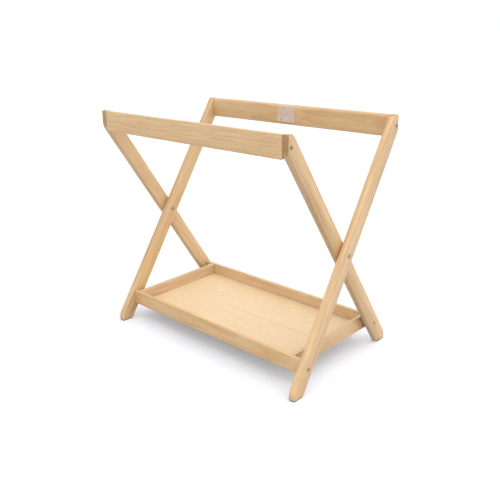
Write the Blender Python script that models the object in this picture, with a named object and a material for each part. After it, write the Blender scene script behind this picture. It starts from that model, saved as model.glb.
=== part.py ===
"""Folding bassinet stand in solid wood.

Two rail frames cross like scissors and turn on two pivot bolts. A shallow tray hangs low between the legs:
it turns on two bolts in the rear frame's legs and rests on two pins in the front frame's legs, so it lifts as
the stand folds. Metres, +Z up, +X to the right, +Y to the back. The origin is on the floor under the pivots.
"""

import math
from dataclasses import dataclass

import bmesh
import bpy
from mathutils import Matrix, Vector

# Overall sizes
HEIGHT = 0.720
FRAME_WIDTH = 0.776
RAIL_SPREAD = 0.472
PIVOT_HEIGHT = 0.349

# Clearances, and how far a cutter runs past the face that it cuts
FIT_GAP = 0.0003
PIVOT_GAP = 0.002
CUT_PAST = 0.005

# Legs: the centre line passes the rail's outer face by LEG_TOP_OVERSHOOT at the level of the leg's top
LEG_WIDTH = 0.050
LEG_THICKNESS = 0.021
LEG_ROUND = 0.007
LEG_TOP_OVERSHOOT = 0.0063
LEG_CUT_ROUND = 0.0010
LEG_TOE_CUT = 0.013
LEG_TOE_ROUND = 0.003
LEG_INSTEP_ROUND = 0.020
LEG_HEEL_ROUND = 0.012
LEG_BEND_ROUND = 0.050
LEG_CROWN_ROUND = 0.015

# Top rails
RAIL_HEIGHT = 0.065
RAIL_THICKNESS = 0.020
RAIL_INNER_ROUND = 0.012
RAIL_OUTER_ROUND = 0.003
RAIL_LOWER_ROUND = 0.0045
RAIL_CORNER_ROUND = 0.007
RAIL_END_ROUND = 0.0008

# Foot pads
PAD_LENGTH = 0.036
PAD_WIDTH = 0.0186
PAD_THICKNESS = 0.003
PAD_CORNER_ROUND = 0.003

# Furniture bolts: a flat head with a hexagon socket, sunk in the leg's outward face
BOLT_RADIUS = 0.0030
BOLT_HEAD_RADIUS = 0.0052
BOLT_HEAD_THICKNESS = 0.0034
BOLT_SOCKET_WIDTH = 0.0050
BOLT_SOCKET_DEPTH = 0.0020
BOLT_HEAD_CHAMFER = 0.0006
RECESS_GAP = 0.0007
RAIL_BOLT_GRIP = 0.0125

# Threaded inserts in the rail ends
INSERT_RADIUS = 0.0050
INSERT_LENGTH = 0.015
INSERT_RIM = 0.0006

# Pivot: bolt, sleeve nut and washer
PIVOT_HEAD_RADIUS = 0.0065
SLEEVE_RADIUS = 0.0050
SLEEVE_IN_OUTER_LEG = 0.009
SLEEVE_HEAD_THICKNESS = 0.0026
WASHER_RADIUS = 0.011

# Wooden dowels
RAIL_DOWEL_RADIUS = 0.0040
RAIL_DOWEL_IN_LEG = 0.012
RAIL_DOWEL_IN_RAIL = 0.018
TRAY_DOWEL_RADIUS = 0.0030
TRAY_DOWEL_IN_LONG_BOARD = 0.008
TRAY_DOWEL_IN_SIDE_BOARD = 0.022
DOWEL_CHAMFER = 0.0008
DOWEL_END_ROOM = 0.0007
DOWEL_WALL = 0.0022

# Tray
TRAY_HEIGHT = 0.0505
TRAY_BOARD_HEIGHT = 0.045
TRAY_BOARD_THICKNESS = 0.012
TRAY_BOARD_ROUND = 0.002
TRAY_EDGE_ROUND = 0.0010
TRAY_END_ROUND = 0.0008
TRAY_SIDE_CLEARANCE = 0.010
TRAY_PANEL_THICKNESS = 0.004
TRAY_GROOVE_DEPTH = 0.005
TRAY_GROOVE_WALL = 0.0032
TRAY_BOLT_GRIP = 0.028
TRAY_PIN_REACH = 0.008
TRAY_NOTCH_END_ROOM = 0.0005

# Clear clips over the rails' inner top edges
CLIP_OFFSET = 0.008
CLIP_WIDTH = 0.067
CLIP_DROP = 0.055
CLIP_WALL = 0.0022
CLIP_LIP = 0.0045
CLIP_BAND_WIDTH = 0.076
CLIP_BAND_HEIGHT = 0.014
CLIP_BAND_THICKNESS = 0.0036
CLIP_BAND_CORNER = 0.005
CLIP_EDGE_ROUND = 0.0005
CLIP_RIB_COUNT = 5
CLIP_RIB_SPACING = 0.0125
CLIP_RIB_WIDTH = 0.0028
CLIP_RIB_HEIGHT = 0.0012
CLIP_RIB_END_ROOM = 0.004
CLIP_SCREW_SPREAD = 0.042
CLIP_SCREW_RISE = 0.006
CLIP_SCREW_RADIUS = 0.0015
CLIP_SCREW_HEAD_RADIUS = 0.0032
CLIP_SCREW_HEAD_THICKNESS = 0.0016
CLIP_SCREW_LENGTH = 0.012

# Facets: a rounding's flats leave its true arc by CHORD_ERROR at most, and one under LEAST_ARC is a chamfer
TURNED_SEGMENTS = 16
HIDDEN_SEGMENTS = 12
CHORD_ERROR = 0.00022
LEAST_ARC = 0.0015
LEAST_LAYER = 0.0002
LEAST_CORNER = 0.0004
SHARP_ANGLE = math.radians(34)

# Sizes that follow from those above
RAIL_MIDDLE = HEIGHT - RAIL_HEIGHT / 2
RAIL_CENTRE_Y = RAIL_SPREAD / 2 - RAIL_THICKNESS / 2
LEG_SPLAY = math.atan((RAIL_SPREAD / 2 + LEG_TOP_OVERSHOOT) / (HEIGHT - PIVOT_HEIGHT))
LEG_BOTTOM = PAD_THICKNESS + FIT_GAP
FRAME_OFFSET = LEG_THICKNESS + PIVOT_GAP
OUTER_FACE_X = (FRAME_WIDTH + FRAME_OFFSET) / 2
INNER_LEG_X = OUTER_FACE_X - FRAME_OFFSET - LEG_THICKNESS
BORE_GAP = FIT_GAP
RAIL_DOWEL_EDGE = RAIL_CORNER_ROUND + DOWEL_WALL + RAIL_DOWEL_RADIUS + BORE_GAP
TRAY_BOLT_HEIGHT = TRAY_HEIGHT + TRAY_BOARD_HEIGHT / 2
TRAY_BOLT_Y = (PIVOT_HEIGHT - TRAY_BOLT_HEIGHT) * math.tan(LEG_SPLAY)
TRAY_INNER_Y = TRAY_BOLT_Y - TRAY_BOARD_THICKNESS / 2
TRAY_SIDE_X = INNER_LEG_X - TRAY_SIDE_CLEARANCE
TRAY_JOINT_MIDDLE = TRAY_SIDE_X - TRAY_BOARD_THICKNESS / 2

# Turns a board's own directions, along and up its outline and then through its depth, into x, y and z
ALONG_LEG = Matrix(((0, 0, 1), (1, 0, 0), (0, 1, 0)))
ALONG_RAIL = Matrix(((1, 0, 0), (0, 0, -1), (0, 1, 0)))
LYING_FLAT = Matrix.Identity(3)


@dataclass
class Side:
    """A straight side of a board's outline: its start, the fillet there and its two edges' roundings."""

    start: tuple
    fillet: float
    low_round: float
    high_round: float


def rounding_steps(turn, radius):
    """The number of flat facets that an arc of this angle and radius gets."""
    if radius < LEAST_ARC:
        return 1
    step = 2 * math.acos(1 - CHORD_ERROR / radius)
    return math.ceil(turn / step)


def layer_depths(radii):
    """Depths under a face at which a board with these edge roundings changes its outline."""
    depths = {0.0}
    for radius in radii:
        steps = rounding_steps(math.pi / 2, radius)
        for step in range(steps + 1):
            depths.add(radius * (1 - math.cos(math.pi / 2 * step / steps)))
    kept = []
    for depth in sorted(depths):
        if not kept or depth - kept[-1] > LEAST_LAYER:
            kept.append(depth)
    return kept


def inset_at(radius, depth):
    """How far an edge rounded by radius stands back at this depth under the face."""
    if depth >= radius:
        return 0.0
    return radius - math.sqrt(radius**2 - (radius - depth) ** 2)


def inset_outline(sides, insets):
    """The outline with each side moved inwards by its own inset and each corner filleted."""
    lines = []
    for index, side in enumerate(sides):
        start = Vector(side.start)
        along = (Vector(sides[(index + 1) % len(sides)].start) - start).normalized()
        inward = Vector((-along.y, along.x))
        lines.append((start + inward * insets[index], along, inward))
    points = []
    for index, side in enumerate(sides):
        before_at, before_along, before_inward = lines[index - 1]
        after_at, after_along, _ = lines[index]
        turn = before_along.angle_signed(after_along) * -1
        cross = before_along.x * after_along.y - before_along.y * after_along.x
        reach = (after_at - before_at).x * after_along.y - (after_at - before_at).y * after_along.x
        corner = before_at + before_along * (reach / cross)
        radius = max(LEAST_CORNER, side.fillet - max(insets[index - 1], insets[index]))
        tangent = radius * math.tan(turn / 2)
        centre = corner - before_along * tangent + before_inward * radius
        steps = rounding_steps(turn, side.fillet)
        for step in range(steps + 1):
            angle = turn * step / steps
            spoke = before_inward * -radius
            points.append(
                centre
                + Vector(
                    (
                        spoke.x * math.cos(angle) - spoke.y * math.sin(angle),
                        spoke.x * math.sin(angle) + spoke.y * math.cos(angle),
                    )
                )
            )
    return points


def smoothed(mesh):
    """The mesh, shaded smooth where its faces meet at a shallow angle."""
    mesh.shade_smooth()
    mesh.set_sharp_from_angle(angle=SHARP_ANGLE)
    return mesh


def closed_mesh(name, points, faces):
    """A closed mesh of these points and faces, with its faces looking outwards."""
    mesh = bpy.data.meshes.new(name)
    mesh.from_pydata(points, [], faces)
    shape = bmesh.new()
    shape.from_mesh(mesh)
    bmesh.ops.recalc_face_normals(shape, faces=shape.faces)
    shape.to_mesh(mesh)
    shape.free()
    return smoothed(mesh)


def ring_faces(rings, size):
    """Faces between successive rings of points, with a cap on each end."""
    faces = []
    for low in range(0, (rings - 1) * size, size):
        high = low + size
        for index in range(size):
            after = (index + 1) % size
            faces.append((low + index, low + after, high + after, high + index))
    faces.append(tuple(reversed(range(size))))
    faces.append(tuple(range((rings - 1) * size, rings * size)))
    return faces


def board_mesh(name, sides, thickness, axes):
    """A board: its outline runs anticlockwise, and its depth runs from the low face to the high one."""
    low = layer_depths([side.low_round for side in sides])
    high = layer_depths([side.high_round for side in sides])
    layers = [(depth, [inset_at(side.low_round, depth) for side in sides]) for depth in low]
    for depth in reversed(high):
        layers.append((thickness - depth, [inset_at(side.high_round, depth) for side in sides]))
    points = []
    for depth, insets in layers:
        outline = inset_outline(sides, insets)
        points.extend(axes @ Vector((point.x, point.y, depth)) for point in outline)
    return closed_mesh(name, points, ring_faces(len(layers), len(outline)))


def box_sides(low, high, rounds, fillets):
    """The four sides of a rectangle, from its low corner: pairs of edge roundings, and start fillets."""
    starts = (low, (high[0], low[1]), high, (low[0], high[1]))
    return [
        Side(start, fillet, low_round, high_round)
        for start, fillet, (low_round, high_round) in zip(starts, fillets, rounds)
    ]


def turned_mesh(name, profile, segments=TURNED_SEGMENTS):
    """A piece turned about X from its profile of (x, radius), which ends on the axis or closes on itself."""
    points = []
    rows = []
    for x, radius in profile:
        count = segments if radius > 0 else 1
        rows.append(range(len(points), len(points) + count))
        for index in range(count):
            angle = 2 * math.pi * index / segments
            points.append((x, radius * math.cos(angle), radius * math.sin(angle)))
    pairs = list(zip(rows, rows[1:]))
    if profile[0][1] > 0:
        pairs.append((rows[-1], rows[0]))
    faces = []
    for left, right in pairs:
        for index in range(segments):
            after = (index + 1) % segments
            if len(left) == 1:
                faces.append((left[0], right[after], right[index]))
            elif len(right) == 1:
                faces.append((left[index], left[after], right[0]))
            else:
                faces.append((left[index], left[after], right[after], right[index]))
    return closed_mesh(name, points, faces)


def rod(name, start, end, radius, segments=TURNED_SEGMENTS):
    """A plain round rod along X."""
    return turned_mesh(name, [(start, 0), (start, radius), (end, radius), (end, 0)], segments)


def prism(name, low, high):
    """A box between two opposite corners."""
    points = [
        (x, y, z) for x in (low[0], high[0]) for y in (low[1], high[1]) for z in (low[2], high[2])
    ]
    faces = [(0, 1, 3, 2), (4, 6, 7, 5), (0, 4, 5, 1), (2, 3, 7, 6), (0, 2, 6, 4), (1, 5, 7, 3)]
    return closed_mesh(name, points, faces)


def moved(mesh, x=0.0, y=0.0, z=0.0, turn=None):
    """The mesh, turned by a rotation matrix if one is given and then moved."""
    if turn is not None:
        mesh.transform(turn.to_4x4())
    mesh.transform(Matrix.Translation((x, y, z)))
    return mesh


def combined(mesh, others, operation):
    """The mesh after a Boolean with each of the others in turn, as a plain mesh."""
    name = mesh.name
    scene = bpy.context.scene.collection
    block = bpy.data.objects.new("block", mesh)
    scene.objects.link(block)
    helpers = [block]
    for other in others:
        helper = bpy.data.objects.new("helper", other)
        helper.hide_render = True
        helper.display_type = "WIRE"
        scene.objects.link(helper)
        helpers.append(helper)
        modifier = block.modifiers.new("shape", "BOOLEAN")
        modifier.operation = operation
        modifier.solver = "EXACT"
        modifier.object = helper
    bpy.context.view_layer.update()
    graph = bpy.context.evaluated_depsgraph_get()
    result = bpy.data.meshes.new_from_object(block.evaluated_get(graph))
    result.name = name
    for helper in helpers:
        used = helper.data
        bpy.data.objects.remove(helper)
        bpy.data.meshes.remove(used)
    return smoothed(result)


def cut(mesh, cutters):
    """The mesh with every cutter taken out of it."""
    return combined(mesh, cutters, "DIFFERENCE")


def joined(mesh, others):
    """The mesh made one body with the others."""
    return combined(mesh, others, "UNION")


def material(name, colour, roughness, metallic=0.0, alpha=1.0):
    """A plain surface of one colour."""
    surface = bpy.data.materials.new(name)
    surface.use_nodes = True
    shader = surface.node_tree.nodes["Principled BSDF"]
    shader.inputs["Base Color"].default_value = (*colour, 1.0)
    shader.inputs["Roughness"].default_value = roughness
    shader.inputs["Metallic"].default_value = metallic
    shader.inputs["Alpha"].default_value = alpha
    surface.diffuse_color = (*colour, alpha)
    return surface


class Finishes:
    """The surfaces that the stand's pieces have."""

    def __init__(self):
        self.wood = material("lacquered_wood", (0.68, 0.43, 0.22), 0.42)
        self.dowel_wood = material("dowel_wood", (0.62, 0.45, 0.27), 0.60)
        self.plywood = material("plywood", (0.80, 0.58, 0.34), 0.45)
        self.steel = material("dark_steel", (0.10, 0.10, 0.11), 0.38, metallic=1.0)
        self.clear_plastic = material("clear_plastic", (0.86, 0.84, 0.82), 0.12, alpha=0.45)
        self.felt = material("felt", (0.09, 0.08, 0.07), 0.95)


def add_piece(name, mesh, surface, parent, location, turn_z=0.0):
    """An object of its own for one physical piece, placed under its parent."""
    piece = bpy.data.objects.new(name, mesh)
    bpy.context.scene.collection.objects.link(piece)
    piece.parent = parent
    piece.location = location
    piece.rotation_euler = (0.0, 0.0, turn_z)
    if not mesh.materials:
        mesh.materials.append(surface)
    return piece


def add_axis(name, location, turn_z=0.0):
    """An empty on a joint's axis, which carries the pieces of one body."""
    axis = bpy.data.objects.new(name, None)
    bpy.context.scene.collection.objects.link(axis)
    axis.location = location
    axis.rotation_euler = (0.0, 0.0, turn_z)
    return axis


def leg_line_y(z):
    """The front frame's leg centre line at a height above the floor: it leans to the front at its top."""
    return (PIVOT_HEIGHT - z) * math.tan(LEG_SPLAY)


def leg_sides():
    """The leg's outline in (y, z) about the pivot, with its floor cut, plumb toe, top cut and plumb cut."""
    half = LEG_WIDTH / 2 / math.cos(LEG_SPLAY)
    floor = LEG_BOTTOM - PIVOT_HEIGHT
    top = HEIGHT - PIVOT_HEIGHT
    plumb = -RAIL_SPREAD / 2
    plumb_foot = (-plumb - half) / math.tan(LEG_SPLAY)
    floor_y = leg_line_y(LEG_BOTTOM)
    top_y = leg_line_y(HEIGHT)
    toe = floor_y + half - LEG_TOE_CUT
    toe_top = floor + LEG_TOE_CUT / math.tan(LEG_SPLAY)
    cut_round = LEG_CUT_ROUND
    return [
        Side((floor_y - half, floor), LEG_HEEL_ROUND, cut_round, cut_round),
        Side((toe, floor), LEG_TOE_ROUND, LEG_ROUND, LEG_ROUND),
        Side((toe, toe_top), LEG_INSTEP_ROUND, LEG_ROUND, LEG_ROUND),
        Side((top_y + half, top), LEG_CROWN_ROUND, cut_round, cut_round),
        Side((plumb, top), cut_round, cut_round, cut_round),
        Side((plumb, plumb_foot), LEG_BEND_ROUND, LEG_ROUND, LEG_ROUND),
    ]


def rail_fixings():
    """(y, z) about the pivot of the rail's bolt and of its upper and lower dowels."""
    y = -RAIL_CENTRE_Y
    upper = HEIGHT - RAIL_DOWEL_EDGE
    lower = HEIGHT - RAIL_HEIGHT + RAIL_DOWEL_EDGE
    return (y, RAIL_MIDDLE - PIVOT_HEIGHT), [(y, upper - PIVOT_HEIGHT), (y, lower - PIVOT_HEIGHT)]


def recess_depth():
    """Depth of the recess that a bolt head sinks in, with its gap above and below."""
    return BOLT_HEAD_THICKNESS + RECESS_GAP + FIT_GAP


def sleeve_recess_depth():
    """Depth of the recess that the sleeve nut's head sinks in."""
    return SLEEVE_HEAD_THICKNESS + RECESS_GAP + FIT_GAP


def leg_mesh(name, is_outer):
    """A leg with its bolt recesses, bores and dowel holes. Depth 0 is the face that looks outwards."""
    thickness = LEG_THICKNESS

    def across(start, end, radius, place, segments=TURNED_SEGMENTS):
        """A round cutter between two depths under the leg's outward face."""
        low, high = (start, end) if is_outer else (thickness - end, thickness - start)
        return moved(rod("bore", low, high, radius, segments), y=place[0], z=place[1])

    bolt_place, dowel_places = rail_fixings()
    tray_place = (TRAY_BOLT_Y, TRAY_BOLT_HEIGHT - PIVOT_HEIGHT)
    pivot_place = (0.0, 0.0)
    cutters = []
    for place in (bolt_place, tray_place):
        cutters.append(across(-CUT_PAST, recess_depth(), BOLT_HEAD_RADIUS + RECESS_GAP, place))
        cutters.append(across(0.0, thickness + CUT_PAST, BOLT_RADIUS + BORE_GAP, place, HIDDEN_SEGMENTS))
    for place in dowel_places:
        deep = thickness - RAIL_DOWEL_IN_LEG - DOWEL_END_ROOM
        dowel_bore = RAIL_DOWEL_RADIUS + BORE_GAP
        cutters.append(across(deep, thickness + CUT_PAST, dowel_bore, place, HIDDEN_SEGMENTS))
    if is_outer:
        sleeve_end = thickness - SLEEVE_IN_OUTER_LEG - DOWEL_END_ROOM
        cutters.append(across(-CUT_PAST, recess_depth(), PIVOT_HEAD_RADIUS + RECESS_GAP, pivot_place))
        cutters.append(across(0.0, thickness + CUT_PAST, BOLT_RADIUS + BORE_GAP, pivot_place))
        cutters.append(across(sleeve_end, thickness + CUT_PAST, SLEEVE_RADIUS + BORE_GAP, pivot_place))
    else:
        head_floor = thickness - sleeve_recess_depth()
        head_bore = PIVOT_HEAD_RADIUS + RECESS_GAP
        cutters.append(across(head_floor, thickness + CUT_PAST, head_bore, pivot_place))
        cutters.append(across(-CUT_PAST, thickness, SLEEVE_RADIUS + BORE_GAP, pivot_place))
    return cut(board_mesh(name, leg_sides(), thickness, ALONG_LEG), cutters)


def rail_mesh(name, length):
    """A top rail from x = 0 to its length. Its inner face is at y = 0 and its top at z = 0."""
    square = (RAIL_END_ROUND, RAIL_END_ROUND)
    low = (0.0, -RAIL_HEIGHT)
    lower = (RAIL_LOWER_ROUND, RAIL_LOWER_ROUND)
    upper = (RAIL_INNER_ROUND, RAIL_OUTER_ROUND)
    corners = (RAIL_CORNER_ROUND, RAIL_CORNER_ROUND, RAIL_END_ROUND, RAIL_END_ROUND)
    sides = box_sides(low, (length, 0.0), (lower, square, upper, square), corners)
    middle = -RAIL_THICKNESS / 2
    cutters = []
    for end, direction in ((0.0, 1.0), (length, -1.0)):
        holes = [
            (-RAIL_HEIGHT / 2, INSERT_RADIUS, INSERT_LENGTH + INSERT_RIM + DOWEL_END_ROOM),
            (-RAIL_DOWEL_EDGE, RAIL_DOWEL_RADIUS, RAIL_DOWEL_IN_RAIL + DOWEL_END_ROOM),
            (RAIL_DOWEL_EDGE - RAIL_HEIGHT, RAIL_DOWEL_RADIUS, RAIL_DOWEL_IN_RAIL + DOWEL_END_ROOM),
        ]
        for z, radius, depth in holes:
            ends = sorted((end - direction * CUT_PAST, end + direction * depth))
            hole = rod("hole", *ends, radius + BORE_GAP, HIDDEN_SEGMENTS)
            cutters.append(moved(hole, y=middle, z=z))
    for place in clip_screw_places():
        x = place[0] + CLIP_OFFSET - rail_start()
        depth = CLIP_SCREW_LENGTH + DOWEL_END_ROOM
        hole = rod("pilot", -depth, CUT_PAST, CLIP_SCREW_RADIUS + BORE_GAP, HIDDEN_SEGMENTS)
        cutters.append(moved(hole, x=x, z=place[1], turn=Matrix.Rotation(math.pi / 2, 3, "Z")))
    return cut(board_mesh(name, sides, RAIL_THICKNESS, ALONG_RAIL), cutters)


def rail_start():
    """x of the rail's left end in the front frame."""
    return -OUTER_FACE_X + LEG_THICKNESS + FIT_GAP


def rail_length():
    """The rail fills the space between its own two legs."""
    return FRAME_WIDTH - 2 * LEG_THICKNESS - 2 * FIT_GAP


def clip_screw_places():
    """(x, z) of the two clip screws about the middle of the clip and the top of the rail."""
    z = CLIP_SCREW_RISE - CLIP_DROP
    return [(-CLIP_SCREW_SPREAD / 2, z), (CLIP_SCREW_SPREAD / 2, z)]


def clip_mesh(name):
    """A moulded clip: it covers the rail's inner top edge, with upright ribs and a screw band at its foot."""
    lip_y = -RAIL_THICKNESS + CLIP_LIP
    round_at = -RAIL_INNER_ROUND
    steps = rounding_steps(math.pi / 2, RAIL_INNER_ROUND)
    inner = [(lip_y, FIT_GAP)]
    outer = [(lip_y, FIT_GAP + CLIP_WALL)]
    for step in range(steps + 1):
        angle = math.pi / 2 * (1 - step / steps)
        for path, grow in ((inner, FIT_GAP), (outer, FIT_GAP + CLIP_WALL)):
            radius = RAIL_INNER_ROUND + grow
            path.append((round_at + radius * math.cos(angle), round_at + radius * math.sin(angle)))
    plate_end = -CLIP_DROP + CLIP_BAND_HEIGHT / 2
    inner.append((FIT_GAP, plate_end))
    outer.append((FIT_GAP + CLIP_WALL, plate_end))
    outline = outer + inner[::-1]
    half = CLIP_WIDTH / 2
    points = [(x, y, z) for x in (-half, half) for y, z in outline]
    saddle = closed_mesh(name, points, ring_faces(2, len(outline)))
    band_low = (-CLIP_BAND_WIDTH / 2, -CLIP_DROP)
    band_high = (CLIP_BAND_WIDTH / 2, -CLIP_DROP + CLIP_BAND_HEIGHT)
    edge = (CLIP_EDGE_ROUND, CLIP_EDGE_ROUND)
    band_sides = box_sides(band_low, band_high, (edge,) * 4, (CLIP_BAND_CORNER,) * 4)
    band = board_mesh("band", band_sides, CLIP_BAND_THICKNESS, ALONG_RAIL)
    additions = [moved(band, y=FIT_GAP + CLIP_BAND_THICKNESS)]
    sunk = CLIP_WALL / 2
    for index in range(CLIP_RIB_COUNT):
        x = (index - (CLIP_RIB_COUNT - 1) / 2) * CLIP_RIB_SPACING
        low = (x - CLIP_RIB_WIDTH / 2, FIT_GAP + sunk, plate_end + CLIP_RIB_WIDTH)
        high_y = FIT_GAP + CLIP_WALL + CLIP_RIB_HEIGHT
        high = (x + CLIP_RIB_WIDTH / 2, high_y, -RAIL_INNER_ROUND - CLIP_RIB_END_ROOM)
        additions.append(prism("rib", low, high))
    clip = joined(saddle, additions)
    turn = Matrix.Rotation(math.pi / 2, 3, "Z")
    floor = FIT_GAP + CLIP_BAND_THICKNESS - CLIP_SCREW_HEAD_THICKNESS - FIT_GAP
    cutters = []
    for x, z in clip_screw_places():
        bore = rod("bore", -CUT_PAST, CLIP_BAND_THICKNESS, CLIP_SCREW_RADIUS + BORE_GAP)
        seat = rod("seat", floor, CLIP_BAND_THICKNESS + CUT_PAST, CLIP_SCREW_HEAD_RADIUS + BORE_GAP)
        cutters.append(moved(bore, x=x, z=z, turn=turn))
        cutters.append(moved(seat, x=x, z=z, turn=turn))
    return cut(clip, cutters)


def hexagon_cutter(width, start, end):
    """A six-sided rod along X, as wide across its flats as the key that fits it."""
    return rod("hexagon", start, end, width / math.sqrt(3), segments=6)


def bolt_mesh(name, head_radius, length):
    """A bolt along +X. The top of its head is at x = 0, and its length runs from under the head."""
    chamfer = BOLT_HEAD_CHAMFER
    under = BOLT_HEAD_THICKNESS
    profile = [
        (0.0, 0.0),
        (0.0, head_radius - chamfer),
        (chamfer, head_radius),
        (under, head_radius),
        (under, BOLT_RADIUS),
        (under + length - chamfer, BOLT_RADIUS),
        (under + length, BOLT_RADIUS - chamfer),
        (under + length, 0.0),
    ]
    socket = hexagon_cutter(BOLT_SOCKET_WIDTH, -CUT_PAST, BOLT_SOCKET_DEPTH)
    return cut(turned_mesh(name, profile), [socket])


def sleeve_mesh(name):
    """A sleeve nut along +X. The top of its head is at x = 0, and its bore opens at the far end."""
    chamfer = BOLT_HEAD_CHAMFER
    under = SLEEVE_HEAD_THICKNESS
    end = LEG_THICKNESS + PIVOT_GAP + SLEEVE_IN_OUTER_LEG - RECESS_GAP
    bore_end = end - bolt_in_sleeve() - DOWEL_END_ROOM
    profile = [
        (0.0, 0.0),
        (0.0, PIVOT_HEAD_RADIUS - chamfer),
        (chamfer, PIVOT_HEAD_RADIUS),
        (under, PIVOT_HEAD_RADIUS),
        (under, SLEEVE_RADIUS),
        (end, SLEEVE_RADIUS),
        (end, BOLT_RADIUS + BORE_GAP),
        (bore_end, BOLT_RADIUS + BORE_GAP),
        (bore_end, 0.0),
    ]
    socket = hexagon_cutter(BOLT_SOCKET_WIDTH, -CUT_PAST, BOLT_SOCKET_DEPTH)
    return cut(turned_mesh(name, profile), [socket])


def bolt_in_sleeve():
    """How far the pivot bolt reaches into the sleeve nut: to the middle of the inner leg."""
    return SLEEVE_IN_OUTER_LEG + PIVOT_GAP + LEG_THICKNESS / 2


def ring_mesh(name, start, end, inner_radius, outer_radius):
    """A plain ring about X."""
    profile = [
        (start, inner_radius),
        (start, outer_radius),
        (end, outer_radius),
        (end, inner_radius),
    ]
    return turned_mesh(name, profile)


def dowel_mesh(name, radius, length):
    """A wooden dowel along +X with chamfered ends."""
    profile = [
        (0.0, 0.0),
        (0.0, radius - DOWEL_CHAMFER),
        (DOWEL_CHAMFER, radius),
        (length - DOWEL_CHAMFER, radius),
        (length, radius - DOWEL_CHAMFER),
        (length, 0.0),
    ]
    return turned_mesh(name, profile, HIDDEN_SEGMENTS)


def screw_mesh(name):
    """A clip screw along +X: flat head, plain shank and point."""
    under = CLIP_SCREW_HEAD_THICKNESS
    reach = CLIP_BAND_THICKNESS + CLIP_SCREW_LENGTH
    profile = [
        (0.0, 0.0),
        (0.0, CLIP_SCREW_HEAD_RADIUS - FIT_GAP),
        (FIT_GAP, CLIP_SCREW_HEAD_RADIUS),
        (under, CLIP_SCREW_HEAD_RADIUS),
        (under, CLIP_SCREW_RADIUS),
        (reach - CLIP_SCREW_RADIUS, CLIP_SCREW_RADIUS),
        (reach, 0.0),
    ]
    return turned_mesh(name, profile, HIDDEN_SEGMENTS)


class FrameMeshes:
    """The meshes that the front and the rear frame share, because the two frames are alike."""

    def __init__(self):
        self.outer_leg = leg_mesh("outer_leg", True)
        self.inner_leg = leg_mesh("inner_leg", False)
        self.rail = rail_mesh("top_rail", rail_length())
        pad_half = (PAD_LENGTH / 2, PAD_WIDTH / 2)
        edge = (FIT_GAP, FIT_GAP)
        pad_low = (-pad_half[1], -pad_half[0])
        pad_high = (pad_half[1], pad_half[0])
        pad_sides = box_sides(pad_low, pad_high, (edge,) * 4, (PAD_CORNER_ROUND,) * 4)
        self.pad = board_mesh("foot_pad", pad_sides, PAD_THICKNESS, LYING_FLAT)
        leg_left = LEG_THICKNESS - recess_depth()
        self.rail_bolt = bolt_mesh("rail_bolt", BOLT_HEAD_RADIUS, leg_left + RAIL_BOLT_GRIP)
        self.insert = ring_mesh("insert", 0.0, INSERT_LENGTH, BOLT_RADIUS + BORE_GAP, INSERT_RADIUS)
        dowel_length = RAIL_DOWEL_IN_LEG + RAIL_DOWEL_IN_RAIL
        self.dowel = dowel_mesh("rail_dowel", RAIL_DOWEL_RADIUS, dowel_length)
        self.clip = clip_mesh("rail_clip")
        self.screw = screw_mesh("clip_screw")


def add_frame(name, meshes, finishes, parent, names):
    """One rail frame, with its rail at its own front. The names are those of its left and right side."""
    wood = finishes.wood
    steel = finishes.steel
    outer_x = -OUTER_FACE_X
    inner_x = INNER_LEG_X
    add_piece(f"{name}_frame_{names[0]}_leg", meshes.outer_leg, wood, parent, (outer_x, 0, 0))
    add_piece(f"{name}_frame_{names[1]}_leg", meshes.inner_leg, wood, parent, (inner_x, 0, 0))
    rail_place = (rail_start(), RAIL_THICKNESS - RAIL_SPREAD / 2, HEIGHT - PIVOT_HEIGHT)
    add_piece(f"{name}_top_rail", meshes.rail, wood, parent, rail_place)
    bolt_place, dowel_places = rail_fixings()
    foot_y = foot_flat_middle()
    legs = (
        (names[0], outer_x, 1.0, 0.0),
        (names[1], inner_x + LEG_THICKNESS, -1.0, math.pi),
    )
    for side, face_x, inwards, turn in legs:
        label = f"{name}_{side}"
        bolt_x = face_x + inwards * RECESS_GAP
        add_piece(f"{label}_rail_bolt", meshes.rail_bolt, steel, parent, (bolt_x, *bolt_place), turn)
        insert_x = face_x + inwards * (LEG_THICKNESS + FIT_GAP + INSERT_RIM)
        insert_place = (insert_x, *bolt_place)
        add_piece(f"{label}_rail_insert", meshes.insert, steel, parent, insert_place, turn)
        dowel_x = face_x + inwards * (LEG_THICKNESS - RAIL_DOWEL_IN_LEG)
        for level, place in zip(("upper", "lower"), dowel_places):
            label_dowel = f"{label}_{level}_rail_dowel"
            add_piece(label_dowel, meshes.dowel, finishes.dowel_wood, parent, (dowel_x, *place), turn)
        pad_x = face_x + inwards * LEG_THICKNESS / 2
        pad_place = (pad_x, foot_y, -PIVOT_HEIGHT)
        add_piece(f"{name}_frame_{side}_foot_pad", meshes.pad, finishes.felt, parent, pad_place)
    clip_place = (CLIP_OFFSET, *rail_place[1:])
    add_piece(f"{name}_rail_clip", meshes.clip, finishes.clear_plastic, parent, clip_place)
    head_y = rail_place[1] + FIT_GAP + CLIP_BAND_THICKNESS
    for side, (x, z) in zip(names, clip_screw_places()):
        place = (CLIP_OFFSET + x, head_y, rail_place[2] + z)
        add_piece(f"{name}_clip_{side}_screw", meshes.screw, steel, parent, place, -math.pi / 2)


def foot_flat_middle():
    """y of the middle of the leg's flat foot, between its heel's and its toe's roundings."""
    heel = LEG_HEEL_ROUND * math.tan((math.pi / 2 - LEG_SPLAY) / 2)
    toe = LEG_TOE_CUT + LEG_TOE_ROUND
    return leg_line_y(LEG_BOTTOM) + (heel - toe) / 2


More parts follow.
